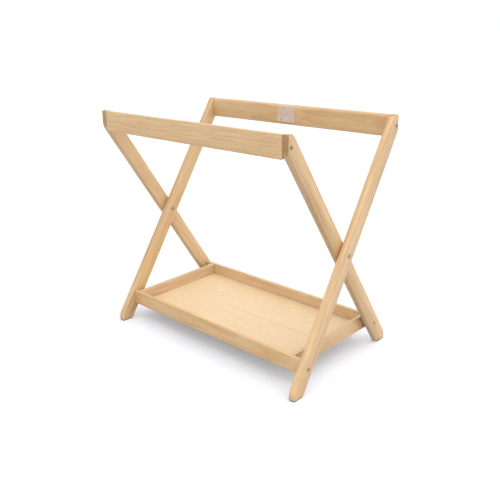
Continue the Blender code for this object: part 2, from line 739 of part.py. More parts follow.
def add_pivots(finishes, parent):
    """Pivot bolt, sleeve nut and washer at each crossing. They stay with the rear frame."""
    steel = finishes.steel
    sleeve_start = LEG_THICKNESS - SLEEVE_IN_OUTER_LEG
    bolt_length = sleeve_start + bolt_in_sleeve() - RECESS_GAP - BOLT_HEAD_THICKNESS
    bolt = bolt_mesh("pivot_bolt", PIVOT_HEAD_RADIUS, bolt_length)
    sleeve = sleeve_mesh("pivot_sleeve_nut")
    bore = SLEEVE_RADIUS + BORE_GAP
    washer = ring_mesh("washer", FIT_GAP, PIVOT_GAP - FIT_GAP, bore, WASHER_RADIUS)
    for side, outwards, turn in (("left", -1.0, 0.0), ("right", 1.0, math.pi)):
        bolt_x = outwards * (OUTER_FACE_X - RECESS_GAP)
        sleeve_x = outwards * (INNER_LEG_X + RECESS_GAP)
        washer_x = outwards * (OUTER_FACE_X - LEG_THICKNESS)
        level = (0.0, PIVOT_HEIGHT)
        add_piece(f"{side}_pivot_bolt", bolt, steel, parent, (bolt_x, *level), turn)
        sleeve_turn = math.pi - turn
        add_piece(f"{side}_pivot_sleeve_nut", sleeve, steel, parent, (sleeve_x, *level), sleeve_turn)
        add_piece(f"{side}_pivot_washer", washer, steel, parent, (washer_x, *level), turn)


def tray_long_board_mesh(name, start, end, has_notches):
    """The tray's front or rear board, with its middle at y = 0 and its underside at z = 0.

    Its ends take the bolts it turns on, or have notches that drop over the pins. The inside is towards +Y.
    """
    half = TRAY_BOARD_THICKNESS / 2
    edge = (TRAY_EDGE_ROUND, TRAY_EDGE_ROUND)
    top = (TRAY_BOARD_ROUND, TRAY_BOARD_ROUND)
    low = (start, 0.0)
    high = (end, TRAY_BOARD_HEIGHT)
    sides = box_sides(low, high, (edge, edge, top, edge), (TRAY_EDGE_ROUND,) * 4)
    board = moved(board_mesh(name, sides, TRAY_BOARD_THICKNESS, ALONG_RAIL), y=half)
    groove_x = TRAY_JOINT_MIDDLE - TRAY_BOARD_THICKNESS / 2 + TRAY_GROOVE_DEPTH
    groove_low = (-groove_x, half - TRAY_GROOVE_DEPTH, TRAY_GROOVE_WALL)
    groove_top = TRAY_GROOVE_WALL + TRAY_PANEL_THICKNESS + 2 * FIT_GAP
    cutters = [prism("groove", groove_low, (groove_x, half + CUT_PAST, groove_top))]
    middle = TRAY_BOARD_HEIGHT / 2
    pin_room = BOLT_RADIUS + BORE_GAP
    for board_end, inwards in ((start, 1.0), (end, -1.0)):
        if has_notches:
            reach = sorted((-inwards * CUT_PAST, inwards * (TRAY_PIN_REACH + TRAY_NOTCH_END_ROOM)))
            notch_low = (board_end + reach[0], -pin_room, -CUT_PAST)
            notch_high = (board_end + reach[1], half + CUT_PAST, middle + pin_room)
            cutters.append(prism("notch", notch_low, notch_high))
        else:
            reach = sorted((-inwards * CUT_PAST, inwards * (TRAY_BOLT_GRIP + DOWEL_END_ROOM)))
            ends = (board_end + reach[0], board_end + reach[1])
            hole = rod("hole", *ends, pin_room, HIDDEN_SEGMENTS)
            cutters.append(moved(hole, z=middle))
    turn = Matrix.Rotation(math.pi / 2, 3, "Z")
    for x in (-TRAY_JOINT_MIDDLE, TRAY_JOINT_MIDDLE):
        for z in tray_dowel_levels():
            deep = half - TRAY_DOWEL_IN_LONG_BOARD - DOWEL_END_ROOM
            bore = TRAY_DOWEL_RADIUS + BORE_GAP
            hole = rod("hole", deep, half + CUT_PAST, bore, HIDDEN_SEGMENTS)
            cutters.append(moved(hole, x=x, z=z, turn=turn))
    return cut(board, cutters)


def tray_dowel_levels():
    """Heights of a tray joint's two dowels above the board's underside, clear of groove and bolt."""
    bore = TRAY_DOWEL_RADIUS + BORE_GAP
    groove_top = TRAY_GROOVE_WALL + TRAY_PANEL_THICKNESS + 2 * FIT_GAP
    bolt_low = TRAY_BOARD_HEIGHT / 2 - BOLT_RADIUS - BORE_GAP
    bolt_high = TRAY_BOARD_HEIGHT / 2 + BOLT_RADIUS + BORE_GAP
    return [(groove_top + bolt_low) / 2, bolt_high + DOWEL_WALL + bore]


def tray_side_board_mesh(name):
    """A short board of the tray, with its length along Y. The inside is towards +X."""
    length = 2 * (TRAY_INNER_Y - FIT_GAP)
    edge = (TRAY_EDGE_ROUND, TRAY_EDGE_ROUND)
    end = (TRAY_END_ROUND, TRAY_END_ROUND)
    top = (TRAY_BOARD_ROUND, TRAY_BOARD_ROUND)
    low = (-length / 2, 0.0)
    high = (length / 2, TRAY_BOARD_HEIGHT)
    sides = box_sides(low, high, (edge, end, top, end), (TRAY_END_ROUND,) * 4)
    half = TRAY_BOARD_THICKNESS / 2
    board = moved(board_mesh(name, sides, TRAY_BOARD_THICKNESS, ALONG_LEG), x=-half)
    groove_low = (half - TRAY_GROOVE_DEPTH, low[0] - CUT_PAST, TRAY_GROOVE_WALL)
    groove_top = TRAY_GROOVE_WALL + TRAY_PANEL_THICKNESS + 2 * FIT_GAP
    cutters = [prism("groove", groove_low, (half + CUT_PAST, high[0] + CUT_PAST, groove_top))]
    for end_y, inwards in ((low[0], 1.0), (high[0], -1.0)):
        depth = inwards * (TRAY_DOWEL_IN_SIDE_BOARD + DOWEL_END_ROOM)
        reach = sorted((end_y - inwards * CUT_PAST, end_y + depth))
        turn = Matrix.Rotation(math.pi / 2, 3, "Z")
        for z in tray_dowel_levels():
            hole = rod("hole", *reach, TRAY_DOWEL_RADIUS + BORE_GAP, HIDDEN_SEGMENTS)
            cutters.append(moved(hole, z=z, turn=turn))
    return cut(board, cutters)


def add_tray(finishes, parent):
    """The tray's boards, panel and dowels, about the axis of the bolts that it turns on."""
    wood = finishes.wood
    under = -TRAY_BOARD_HEIGHT / 2
    depth = 2 * TRAY_BOLT_Y
    short_end = INNER_LEG_X - FIT_GAP
    long_end = OUTER_FACE_X - LEG_THICKNESS - FIT_GAP
    front = tray_long_board_mesh("front_board", -short_end, long_end, False)
    add_piece("tray_front_board", front, wood, parent, (0, 0, under))
    rear = tray_long_board_mesh("rear_board", -short_end, long_end, True)
    add_piece("tray_rear_board", rear, wood, parent, (0, depth, under), math.pi)
    side_board = tray_side_board_mesh("side_board")
    left = (-TRAY_JOINT_MIDDLE, depth / 2, under)
    right = (TRAY_JOINT_MIDDLE, depth / 2, under)
    add_piece("tray_left_board", side_board, wood, parent, left)
    add_piece("tray_right_board", side_board, wood, parent, right, math.pi)
    tuck = TRAY_GROOVE_DEPTH - FIT_GAP
    half_x = TRAY_JOINT_MIDDLE - TRAY_BOARD_THICKNESS / 2 + tuck
    half_y = TRAY_INNER_Y + tuck
    edge = (FIT_GAP, FIT_GAP)
    panel_sides = box_sides((-half_x, -half_y), (half_x, half_y), (edge,) * 4, (TRAY_END_ROUND,) * 4)
    panel = board_mesh("panel", panel_sides, TRAY_PANEL_THICKNESS, LYING_FLAT)
    panel_z = under + TRAY_GROOVE_WALL + FIT_GAP
    add_piece("tray_panel", panel, finishes.plywood, parent, (0, depth / 2, panel_z))
    dowel_length = TRAY_DOWEL_IN_LONG_BOARD + TRAY_DOWEL_IN_SIDE_BOARD
    dowel = dowel_mesh("tray_dowel", TRAY_DOWEL_RADIUS, dowel_length)
    board_half = TRAY_BOARD_THICKNESS / 2
    for end, y, turn in (
        ("front", board_half - TRAY_DOWEL_IN_LONG_BOARD, math.pi / 2),
        ("rear", depth - board_half + TRAY_DOWEL_IN_LONG_BOARD, -math.pi / 2),
    ):
        for side, x in (("left", -TRAY_JOINT_MIDDLE), ("right", TRAY_JOINT_MIDDLE)):
            for level, z in zip(("lower", "upper"), tray_dowel_levels()):
                label = f"tray_{end}_{side}_{level}_dowel"
                add_piece(label, dowel, finishes.dowel_wood, parent, (x, y, under + z), turn)


def add_tray_fixings(finishes, rear_parent, front_parent):
    """The bolts that the tray turns on, in the rear frame, and the pins it rests on, in the front frame."""
    steel = finishes.steel
    leg_left = LEG_THICKNESS - recess_depth()
    bolt = bolt_mesh("tray_bolt", BOLT_HEAD_RADIUS, leg_left + TRAY_BOLT_GRIP)
    pin = bolt_mesh("tray_pin", BOLT_HEAD_RADIUS, leg_left + TRAY_PIN_REACH)
    z = TRAY_BOLT_HEIGHT - PIVOT_HEIGHT
    outer = -OUTER_FACE_X + RECESS_GAP
    inner = INNER_LEG_X + LEG_THICKNESS - RECESS_GAP
    for kind, mesh, parent, names in (
        ("tray_hinge_bolt", bolt, rear_parent, ("right", "left")),
        ("tray_rest_pin", pin, front_parent, ("left", "right")),
    ):
        add_piece(f"{names[0]}_{kind}", mesh, steel, parent, (outer, TRAY_BOLT_Y, z), 0.0)
        add_piece(f"{names[1]}_{kind}", mesh, steel, parent, (inner, TRAY_BOLT_Y, z), math.pi)


def build():
    """The whole stand, opened out on the floor."""
    for leftover in list(bpy.data.objects):
        bpy.data.objects.remove(leftover)
    finishes = Finishes()
    front_hinge = add_axis("front_frame_hinge", (0, 0, PIVOT_HEIGHT))
    rear_frame = add_axis("rear_frame", (0, 0, PIVOT_HEIGHT), math.pi)
    tray_hinge = add_axis("tray_hinge", (0, -TRAY_BOLT_Y, TRAY_BOLT_HEIGHT))
    stand = add_axis("stand", (0, 0, 0))
    meshes = FrameMeshes()
    add_frame("front", meshes, finishes, front_hinge, ("left", "right"))
    add_frame("rear", meshes, finishes, rear_frame, ("right", "left"))
    add_pivots(finishes, stand)
    add_tray(finishes, tray_hinge)
    add_tray_fixings(finishes, rear_frame, front_hinge)


build()
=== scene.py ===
"""A folding bassinet stand in lacquered rubberwood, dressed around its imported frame.

Everything is in metres in the frame's own axes: +X to the right, +Y to the back and +Z up, with the origin
on the floor under the two pivots. The front frame is built where it stands, and the rear frame is the same
frame turned half round.
"""

import logging
import math
from abc import ABC, abstractmethod
from collections.abc import Callable, Iterable
from dataclasses import dataclass, field
from enum import Enum, StrEnum
from functools import partial

import bmesh
import bpy
from mathutils import Matrix, Vector


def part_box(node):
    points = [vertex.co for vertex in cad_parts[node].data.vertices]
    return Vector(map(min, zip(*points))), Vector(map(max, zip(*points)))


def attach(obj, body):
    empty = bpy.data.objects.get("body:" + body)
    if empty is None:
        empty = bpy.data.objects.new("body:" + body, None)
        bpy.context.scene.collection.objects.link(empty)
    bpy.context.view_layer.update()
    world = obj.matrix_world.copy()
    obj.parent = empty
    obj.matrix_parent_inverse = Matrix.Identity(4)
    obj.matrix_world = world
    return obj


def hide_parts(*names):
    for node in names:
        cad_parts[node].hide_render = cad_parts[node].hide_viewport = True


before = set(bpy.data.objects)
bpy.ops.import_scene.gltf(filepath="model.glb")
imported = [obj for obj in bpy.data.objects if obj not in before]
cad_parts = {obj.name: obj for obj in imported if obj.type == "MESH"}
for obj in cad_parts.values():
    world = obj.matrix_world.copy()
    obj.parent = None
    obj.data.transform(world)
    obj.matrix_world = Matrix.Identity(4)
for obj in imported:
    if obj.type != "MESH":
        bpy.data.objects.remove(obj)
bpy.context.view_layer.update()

log = logging.getLogger("stand")

Mesh = bpy.types.Mesh
Socket = bpy.types.NodeSocket
Adder = Callable[..., Socket]
Point2 = tuple[float, float]
Point3 = tuple[float, float, float]

MM = 0.001
PIVOT_HEIGHT = 0.349
FIT_GAP = 0.0003  # between pieces that touch
CHORD_ERROR = 0.00003  # how far a facet of a rounding may stand inside it
LEAST_LAYER = 0.00005  # between two outlines of a rounded board
LEAST_CORNER = 0.0002
SHARP_ANGLE = math.radians(32)
ROUND_SEGMENTS = 56
WELD = 0.001 * MM
CUT_PAST = 0.005  # how far a cutter stands out of what it cuts
MOST_APART_MM = 0.6  # how far a dressed piece may differ from its node's box unremarked
HALF_TURN = Matrix.Rotation(math.pi, 4, "Z")
X_TO_Z = Matrix.Rotation(-math.pi / 2, 4, "Y")
STRAIGHT = Matrix.Identity(3)


class Slot(Enum):
    """The record's material slots."""

    WOOD = "wood"
    PLYWOOD = "plywood"
    DOWEL_WOOD = "dowel_wood"
    STEEL = "steel"
    CLEAR_PLASTIC = "clear_plastic"
    FELT = "felt"


class Body(Enum):
    """The frame's bodies, which move against each other as the stand folds."""

    REAR_FRAME = "rear_frame"
    FRONT_FRAME = "front_frame"
    TRAY = "tray"


class Hand(StrEnum):
    """The stand's two ends, as seen from the front."""

    LEFT = "left"
    RIGHT = "right"


class Work(Enum):
    """What the meshes that one is worked with do to it."""

    CUT = "DIFFERENCE"
    JOIN = "UNION"


Dress = tuple[bpy.types.Material, Slot]


def linear(hex_colour: str) -> tuple[float, float, float, float]:
    """Turns an sRGB hex colour to linear light.

    Args:
        hex_colour: The colour as "#RRGGBB".

    Returns:
        Linear red, green, blue and an alpha of 1.
    """
    channels = []
    for start in (1, 3, 5):
        value = int(hex_colour[start : start + 2], 16) / 255
        channels.append(value / 12.92 if value <= 0.04045 else ((value + 0.055) / 1.055) ** 2.4)
    return (*channels, 1.0)


def feed(node: bpy.types.Node, inputs: dict | tuple) -> None:
    """Sets or links a node's inputs.

    Args:
        node: The node.
        inputs: What they get, in their order, or by name or place: a value, a hex colour, or an output.
    """
    for key, value in inputs.items() if isinstance(inputs, dict) else enumerate(inputs):
        if isinstance(value, Socket):
            node.id_data.links.new(value, node.inputs[key])
        else:
            node.inputs[key].default_value = linear(value) if isinstance(value, str) else value


def add_node(
    tree: bpy.types.NodeTree,
    kind: str,
    inputs: dict | tuple = (),
    out: int | str = 0,
    ramp: Iterable = (),
    **settings: object,
) -> Socket:
    """Adds a node with its settings and links.

    Args:
        tree: The node tree that it goes into.
        kind: Its type name without the ShaderNode.
        inputs: What its inputs get, as feed takes them.
        out: The output that is wanted, by name or place.
        ramp: The stops of a colour ramp in order, as a position and a hex colour or a grey level.
        settings: The node's own properties.

    Returns:
        The wanted output.
    """
    node = tree.nodes.new(f"ShaderNode{kind}")
    for name, value in settings.items():
        setattr(node, name, value)
    for index, (position, colour) in enumerate(ramp):
        stops = node.color_ramp.elements
        stop = stops[index] if index < len(stops) else stops.new(position)
        stop.position = position
        stop.color = linear(colour) if isinstance(colour, str) else (colour, colour, colour, 1.0)
    feed(node, inputs)
    return node.outputs[out]


def grain(add: Adder, place: Socket, size: Point2, detail: float) -> bpy.types.NodeOutputs:
    """Makes uneven marks that run along X, as the grain of wood does.

    Args:
        add: Adds a node to the material.
        place: The place on the piece.
        size: How long and how wide the marks are, in the place's own unit.
        detail: How far they break up.

    Returns:
        Their noise's outputs.
    """
    thin = 1 / size[1]
    squeezed = add("VectorMath", (place, (1 / size[0], thin, thin)), operation="MULTIPLY")
    return add("TexNoise", {"Vector": squeezed, "Scale": 1.0, "Detail": detail}).node.outputs


class Finish(ABC):
    """A finish: the record's slot that it belongs to, and how strong and how deep its relief is."""

    slot: Slot
    relief: Point2

    @abstractmethod
    def inputs(self, add: Adder, *told: object) -> dict:
        """Makes the nodes and hands back what the shader's inputs get, with the relief under Height."""

    def dress(self, name: str, *told: object) -> Dress:
        """Makes the material.

        Args:
            name: The material's name.
            told: What else its nodes need to know of the piece.

        Returns:
            The material and its slot.
        """
        material = bpy.data.materials.new(name)
        material.use_nodes = True
        add = partial(add_node, material.node_tree)
        inputs = self.inputs(add, *told)
        strength, depth = self.relief
        bump = {"Height": inputs.pop("Height"), "Strength": strength, "Distance": depth}
        feed(material.node_tree.nodes["Principled BSDF"], {**inputs, "Normal": add("Bump", bump)})
        return material, self.slot


@dataclass(frozen=True)
class BoardLook:
    """What sets one board apart from the next.

    Attributes:
        heart: Where the log's heart lies from the board's own origin, across and through it, in millimetres.
        seed: How far along the log the board was sawn, in millimetres.
        tone: How light the board is beside the others.
        edge_tone: Its narrow sides' lightness: partly the rings' other cut, partly painted light and shade.
        richness: How strong its colour is.
        drift: Painted shade across it: one long side this much darker than its middle, the other this much
            lighter.
    """

    heart: Point2
    seed: float
    tone: float = 1.0
    edge_tone: float = 1.0
    richness: float = 1.0
    drift: float = 0.0


@dataclass(frozen=True)
class GrainLayer:
    """One size of streak along the grain, and how much of the darker wood it brings where it is strong."""

    size_mm: Point2
    detail: float
    limits: Point2
    share: float


@dataclass(frozen=True)
class Rubberwood(Finish):
    """Rubberwood, planed, sanded and sprayed with a clear satin lacquer.

    It gives the eye a pale straw ground with soft broad bands, fine tan streaks along the board and short
    dark vessel lines. Ends that are cut across the grain drink the lacquer and turn browner. The lacquer adds
    a soft sheen that grows where a face is seen at a slant.
    """

    slot: Slot = Slot.WOOD
    pale: str = "#E9CB9F"
    tan: str = "#C79A64"
    vessel: str = "#A67C50"
    end_pale: str = "#C4965B"
    end_dark: str = "#A47643"
    roughness: Point2 = (0.41, 0.53)
    lacquer: float = 0.5
    lacquer_roughness: float = 0.3
    ring_mm: float = 9.0
    ring_profile: tuple = ((0.0, 0.0), (0.5, 0.25), (0.8, 1.0), (1.0, 0.0))
    ring_share: float = 0.2
    heart_lean: float = 0.03
    wander_mm: Point2 = (260.0, 48.0)
    wander_reach_mm: float = 12.0
    # A real vessel line is about 0.3 mm wide. It is drawn at three times that, or no picture would show it.
    vessel_mm: Point2 = (22.0, 0.9)
    vessel_limits: Point2 = (0.6, 0.78)
    vessel_share: float = 0.45
    # A real pore is about 0.2 mm across. It is drawn coarser for the same reason.
    pore_mm: float = 0.9
    arc_share: float = 0.35
    sawn_limits: tuple = (0.22, 0.52, 0.0, 0.95)
    edge_limits: Point2 = (0.5, 0.85)
    drift_mm: float = 12.0
    end_reach_mm: float = 50.0
    relief: Point2 = (0.2, 0.2 * MM)
    layers: tuple[GrainLayer, ...] = (
        GrainLayer((620.0, 40.0), 1.0, (0.32, 0.68), 0.30),
        GrainLayer((140.0, 9.0), 2.0, (0.30, 0.70), 0.34),
        GrainLayer((55.0, 3.0), 3.0, (0.30, 0.72), 0.30),
    )

    def inputs(self, add: Adder, look: BoardLook, axes: Matrix, ends: Point2) -> dict:
        """Makes the nodes of one board.

        Args:
            add: Adds a node to the material.
            look: What sets the board apart.
            axes: The board's directions along, across and through it, as its object has them.
            ends: How much of a sawn end's brown its low and its high end show, 1 for all of it.

        Returns:
            What the shader's inputs get, and the relief.
        """
        coords = add("TexCoord").node.outputs
        shift = (look.seed, 0.0, 0.0)
        in_mm = add("Mapping", (coords["Object"], shift, axes.transposed().to_euler(), (1 / MM,) * 3))
        rings = self._rings(add, in_mm, look.heart)
        dark = add("Math", (rings, self.ring_share), operation="MULTIPLY")
        for layer in self.layers:
            streaks = grain(add, in_mm, layer.size_mm, layer.detail)[0]
            brought = add("MapRange", (streaks, *layer.limits, 0.0, layer.share))
            dark = add("Math", (dark, brought), use_clamp=True)
        vessels = grain(add, in_mm, self.vessel_mm, 1.0)[0]
        vessel_part = add("MapRange", (vessels, *self.vessel_limits, 0.0, self.vessel_share))
        along, across, _ = add("SeparateXYZ", (in_mm,)).node.outputs
        reach = self.end_reach_mm
        browned = add("MapRange", (along, look.seed - reach, look.seed + reach, *ends))
        sawn = self._turned_share(add, coords["Normal"], axes.col[0], self.sawn_limits)
        sawn_part = add("Math", (sawn, browned), operation="MULTIPLY")
        pores = add("TexNoise", {"Vector": in_mm, "Scale": 1 / self.pore_mm, "Detail": 1.0})
        pore_part = add("Math", (rings, self.arc_share, pores), operation="MULTIPLY_ADD", use_clamp=True)
        end = add("Mix", {0: pore_part, 6: self.end_pale, 7: self.end_dark}, 2, data_type="RGBA")
        colour = self.pale
        for part, over in ((dark, self.tan), (vessel_part, self.vessel), (sawn_part, end)):
            colour = add("Mix", {0: part, 6: colour, 7: over}, 2, data_type="RGBA")
        # The narrow sides' tone is partly the other cut of the rings and partly painted light and shade, set
        # for how light falls on each board.
        edge_shade_limits = (*self.edge_limits, look.tone, look.tone * look.edge_tone)
        tone = self._turned_share(add, coords["Normal"], axes.col[1], edge_shade_limits)
        # Painted light and shade across the board: lighter towards one long side, darker towards the other.
        limits = (-self.drift_mm, self.drift_mm, 1 + look.drift, 1 - look.drift)
        drift = add("MapRange", (across, *limits), interpolation_type="SMOOTHSTEP")
        tone = add("Math", (tone, drift), operation="MULTIPLY")
        return {
            "Base Color": add("HueSaturation", {"Color": colour, "Value": tone, "Saturation": look.richness}),
            "Roughness": add("MapRange", (dark, 0.0, 1.0, *self.roughness)),
            "Height": add("Math", (vessel_part, -1.0, dark), operation="MULTIPLY_ADD"),
            "Coat Weight": self.lacquer,
            "Coat Roughness": self.lacquer_roughness,
        }

    def _rings(self, add: Adder, in_mm: Socket, heart: Point2) -> Socket:
        """Makes the growth rings: wandering shells round the log's heart, which leans a little to the board.

        Args:
            add: Adds a node to the material.
            in_mm: The place on the board in millimetres.
            heart: Where the heart lies across and through the board, in millimetres.

        Returns:
            How far each point is into its ring's darker late wood, from 0 to 1.
        """
        reach = self.wander_reach_mm
        wander = grain(add, in_mm, self.wander_mm, 2.0)["Color"]
        wandered = add("VectorMath", (wander, (0.0, 2 * reach, 2 * reach), in_mm), operation="MULTIPLY_ADD")
        along, across, through = add("SeparateXYZ", (wandered,)).node.outputs
        leaned = add("Math", (along, self.heart_lean, through), operation="MULTIPLY_ADD")
        ways = (add("CombineXYZ", (0.0, across, leaned)), (0.0, heart[0] + reach, heart[1] + reach))
        spoke = add("VectorMath", ways, "Value", operation="DISTANCE")
        count = add("Math", (spoke, self.ring_mm), operation="DIVIDE")
        within = add("Math", (count,), operation="FRACT")
        return add("ValToRGB", (within,), ramp=self.ring_profile)

    def _turned_share(self, add: Adder, normal: Socket, way: Vector, limits: tuple) -> Socket:
        """Turns how squarely a face looks along a direction into a value.

        Args:
            add: Adds a node to the material.
            normal: The face's direction in its object's axes.
            way: The direction, in the same axes.
            limits: The squareness at which the value starts and ends to change, and its values there.

        Returns:
            The value.
        """
        turned = add("VectorMath", (normal, way), "Value", operation="DOT_PRODUCT")
        size = add("Math", (turned,), operation="ABSOLUTE")
        return add("MapRange", (size, *limits), interpolation_type="SMOOTHSTEP")


@dataclass(frozen=True)
class BirchPlywood(Finish):
    """Birch plywood of 4 mm, faced in two strips of peeled veneer and lacquered.

    It gives the eye a pale, even ground with fine straight streaks and one thin seam along the middle. Its
    edge shows three plies, the middle one darker because it is end grain.
    """

    slot: Slot = Slot.PLYWOOD
    pale: str = "#E9D0AB"
    warm: str = "#DFC297"
    seam: str = "#B58A5A"
    ply_dark: str = "#B98F5E"
    roughness: Point2 = (0.42, 0.51)
    lacquer: float = 0.1
    lacquer_roughness: float = 0.25
    streak_mm: Point2 = (30.0, 3.5)
    cloud_mm: Point2 = (240.0, 90.0)
    mark_limits: Point2 = (0.3, 0.72)
    cloud_share: float = 0.3
    seam_mm: float = 1.7
    seam_fade_mm: Point2 = (-200.0, 60.0)
    seam_share: float = 0.8
    ply_mm: float = 4.0 / 3
    ply_limits: Point2 = (0.9, 1.1)
    edge_limits: Point2 = (0.3, 0.6)
    relief: Point2 = (0.15, 0.2 * MM)

    def inputs(self, add: Adder) -> dict:
        """Makes the nodes of a panel whose middle is its own origin.

        Args:
            add: Adds a node to the material.

        Returns:
            What the shader's inputs get, and the relief.
        """
        coords = add("TexCoord").node.outputs
        in_mm = add("Mapping", {"Vector": coords["Object"], "Scale": (1 / MM,) * 3})
        along, across, through = add("SeparateXYZ", (in_mm,)).node.outputs
        streaks, clouds = (
            add("MapRange", (grain(add, in_mm, size, detail)[0], *self.mark_limits))
            for size, detail in ((self.streak_mm, 3.0), (self.cloud_mm, 2.0))
        )
        warmed = add("Math", (clouds, self.cloud_share, streaks), operation="MULTIPLY_ADD", use_clamp=True)
        from_seam = add("Math", (across,), operation="ABSOLUTE")
        seam_line = add("MapRange", (from_seam, 0.0, self.seam_mm, 1.0, 0.0))
        seam_fade = add("MapRange", (along, *self.seam_fade_mm, 0.0, self.seam_share))
        seam_part = add("Math", (seam_line, seam_fade), operation="MULTIPLY")
        upright = add("Math", (add("SeparateXYZ", (coords["Normal"],), 2),), operation="ABSOLUTE")
        edge_part = add("MapRange", (upright, *self.edge_limits, 1.0, 0.0))
        ply = add("Math", (through, self.ply_mm), operation="DIVIDE")
        from_middle = add("Math", (ply, 2.0), operation="PINGPONG")
        middle_ply = add("MapRange", (from_middle, *self.ply_limits))
        ply_part = add("Math", (middle_ply, edge_part), operation="MULTIPLY")
        colour = self.pale
        for part, over in ((warmed, self.warm), (seam_part, self.seam), (ply_part, self.ply_dark)):
            colour = add("Mix", {0: part, 6: colour, 7: over}, 2, data_type="RGBA")
        return {
            "Base Color": colour,
            "Roughness": add("MapRange", (streaks, 0.0, 1.0, *self.roughness)),
            "Height": streaks,
            "Coat Weight": self.lacquer,
            "Coat Roughness": self.lacquer_roughness,
        }


@dataclass(frozen=True)
class BeechDowel(Finish):
    """Beech, turned to a rod and left raw.

    It gives the eye a dry, pinkish wood with short darker flecks along the rod.
    """

    slot: Slot = Slot.DOWEL_WOOD
    pale: str = "#D3AF86"
    dark: str = "#B58B60"
    roughness: float = 0.7
    fleck: Point2 = (6.0 * MM, 0.7 * MM)
    limits: Point2 = (0.42, 0.7)
    relief: Point2 = (0.3, 0.1 * MM)

    def inputs(self, add: Adder) -> dict:
        """Makes the nodes.

        Args:
            add: Adds a node to the material.

        Returns:
            What the shader's inputs get, and the relief.
        """
        flecks = grain(add, add("TexCoord", out="Object"), self.fleck, 2.0)[0]
        return {
            "Base Color": add("ValToRGB", (flecks,), ramp=zip(self.limits, (self.pale, self.dark))),
            "Roughness": self.roughness,
            "Height": flecks,
        }


@dataclass(frozen=True)
class ZincPlatedSteel(Finish):
    """Cold-headed steel with a clear zinc plating.

    It gives the eye a soft warm grey metal whose rims catch the light, with painted shade in a dull dark
    brown at the bottom of each socket. It dresses a fixing whose axis is X and whose head's top is at x = 0.
    """

    slot: Slot = Slot.STEEL
    bright: str = "#C8B99F"
    dull: str = "#A3937B"
    grime: str = "#5A4C3C"
    roughness: Point2 = (0.26, 0.48)
    grit_mm: float = 0.8
    limits: Point2 = (0.35, 0.75)
    grime_reach_mm: float = 2.9
    grime_depth: Point2 = (0.2 * MM, 0.9 * MM)
    grime_share: float = 0.9
    relief: Point2 = (0.1, 0.05 * MM)

    def inputs(self, add: Adder) -> dict:
        """Makes the nodes.

        Args:
            add: Adds a node to the material.

        Returns:
            What the shader's inputs get, and the relief.
        """
        place = add("TexCoord", out="Object")
        grit = add("TexNoise", {"Vector": place, "Scale": 1 / MM / self.grit_mm, "Detail": 3.0})
        metal = add("ValToRGB", (grit,), ramp=zip(self.limits, (self.bright, self.dull)))
        # Painted shade: a dark brown laid into the socket's depths, where little light reaches.
        from_axis = add("VectorMath", (place, (0.0, 1 / MM, 1 / MM)), operation="MULTIPLY")
        out_mm = add("VectorMath", (from_axis,), "Value", operation="LENGTH")
        within = add("Math", (out_mm, self.grime_reach_mm), operation="LESS_THAN")
        depth = add("SeparateXYZ", (place,))
        sunk = add("MapRange", (depth, *self.grime_depth, 0.0, self.grime_share))
        socket_shaded = add("Math", (within, sunk), operation="MULTIPLY")
        return {
            "Base Color": add("Mix", {0: socket_shaded, 6: metal, 7: self.grime}, 2, data_type="RGBA"),
            "Roughness": add("MapRange", (grit, 0.0, 1.0, *self.roughness)),
            "Metallic": 1.0,
            "Height": grit,
        }


@dataclass(frozen=True)
class ClearPolycarbonate(Finish):
    """Polycarbonate, injection moulded with a fine satin texture.

    It gives the eye a thin pinkish-white haze: the wood shows through it, paler, and its thick foot, ribs and
    rims turn denser. Light that it scatters forwards still reaches the wood behind. It dresses a clip whose
    top is at its own y = 0.
    """

    slot: Slot = Slot.CLEAR_PLASTIC
    tint: str = "#F0E5DA"
    body: float = 0.36
    rim: float = 0.7
    foot: float = 0.12
    foot_levels: Point2 = (-42 * MM, -40 * MM)
    head: float = 0.18
    head_levels: Point2 = (-13 * MM, -3 * MM)
    shade_kept: float = 0.2
    roughness: float = 0.25
    texture_mm: float = 1.6
    texture_share: float = 0.1
    index: float = 1.58
    relief: Point2 = (0.2, 0.1 * MM)

    def inputs(self, add: Adder) -> dict:
        """Makes the nodes.

        Args:
            add: Adds a node to the material.

        Returns:
            What the shader's inputs get, and the relief.
        """
        place = add("TexCoord", out="Object")
        texture = add("TexNoise", {"Vector": place, "Scale": 1 / MM / self.texture_mm, "Detail": 2.0})
        slant = add("LayerWeight", {"Blend": 0.5}, "Facing")
        cover = add("MapRange", (slant, 0.0, 1.0, self.body, self.rim))
        level = add("SeparateXYZ", (place,), 1)
        for limits in ((*self.foot_levels, self.foot, 0.0), (*self.head_levels, 0.0, -self.head)):
            cover = add("Math", (cover, add("MapRange", (level, *limits))))
        clouded = (texture, self.texture_share, cover)
        cover = add("Math", clouded, operation="MULTIPLY_ADD", use_clamp=True)
        back, shadow = add("NewGeometry", out="Backfacing"), add("LightPath", out="Is Shadow Ray")
        # A wall covers once, where a ray enters it, and shades the wood by only a part of that.
        for share in (
            add("Math", (1.0, back), operation="SUBTRACT"),
            add("MapRange", (shadow, 0.0, 1.0, 1.0, self.shade_kept)),
        ):
            cover = add("Math", (cover, share), operation="MULTIPLY")
        return {
            "Base Color": self.tint,
            "Roughness": self.roughness,
            "IOR": self.index,
            "Alpha": cover,
            "Height": texture,
        }


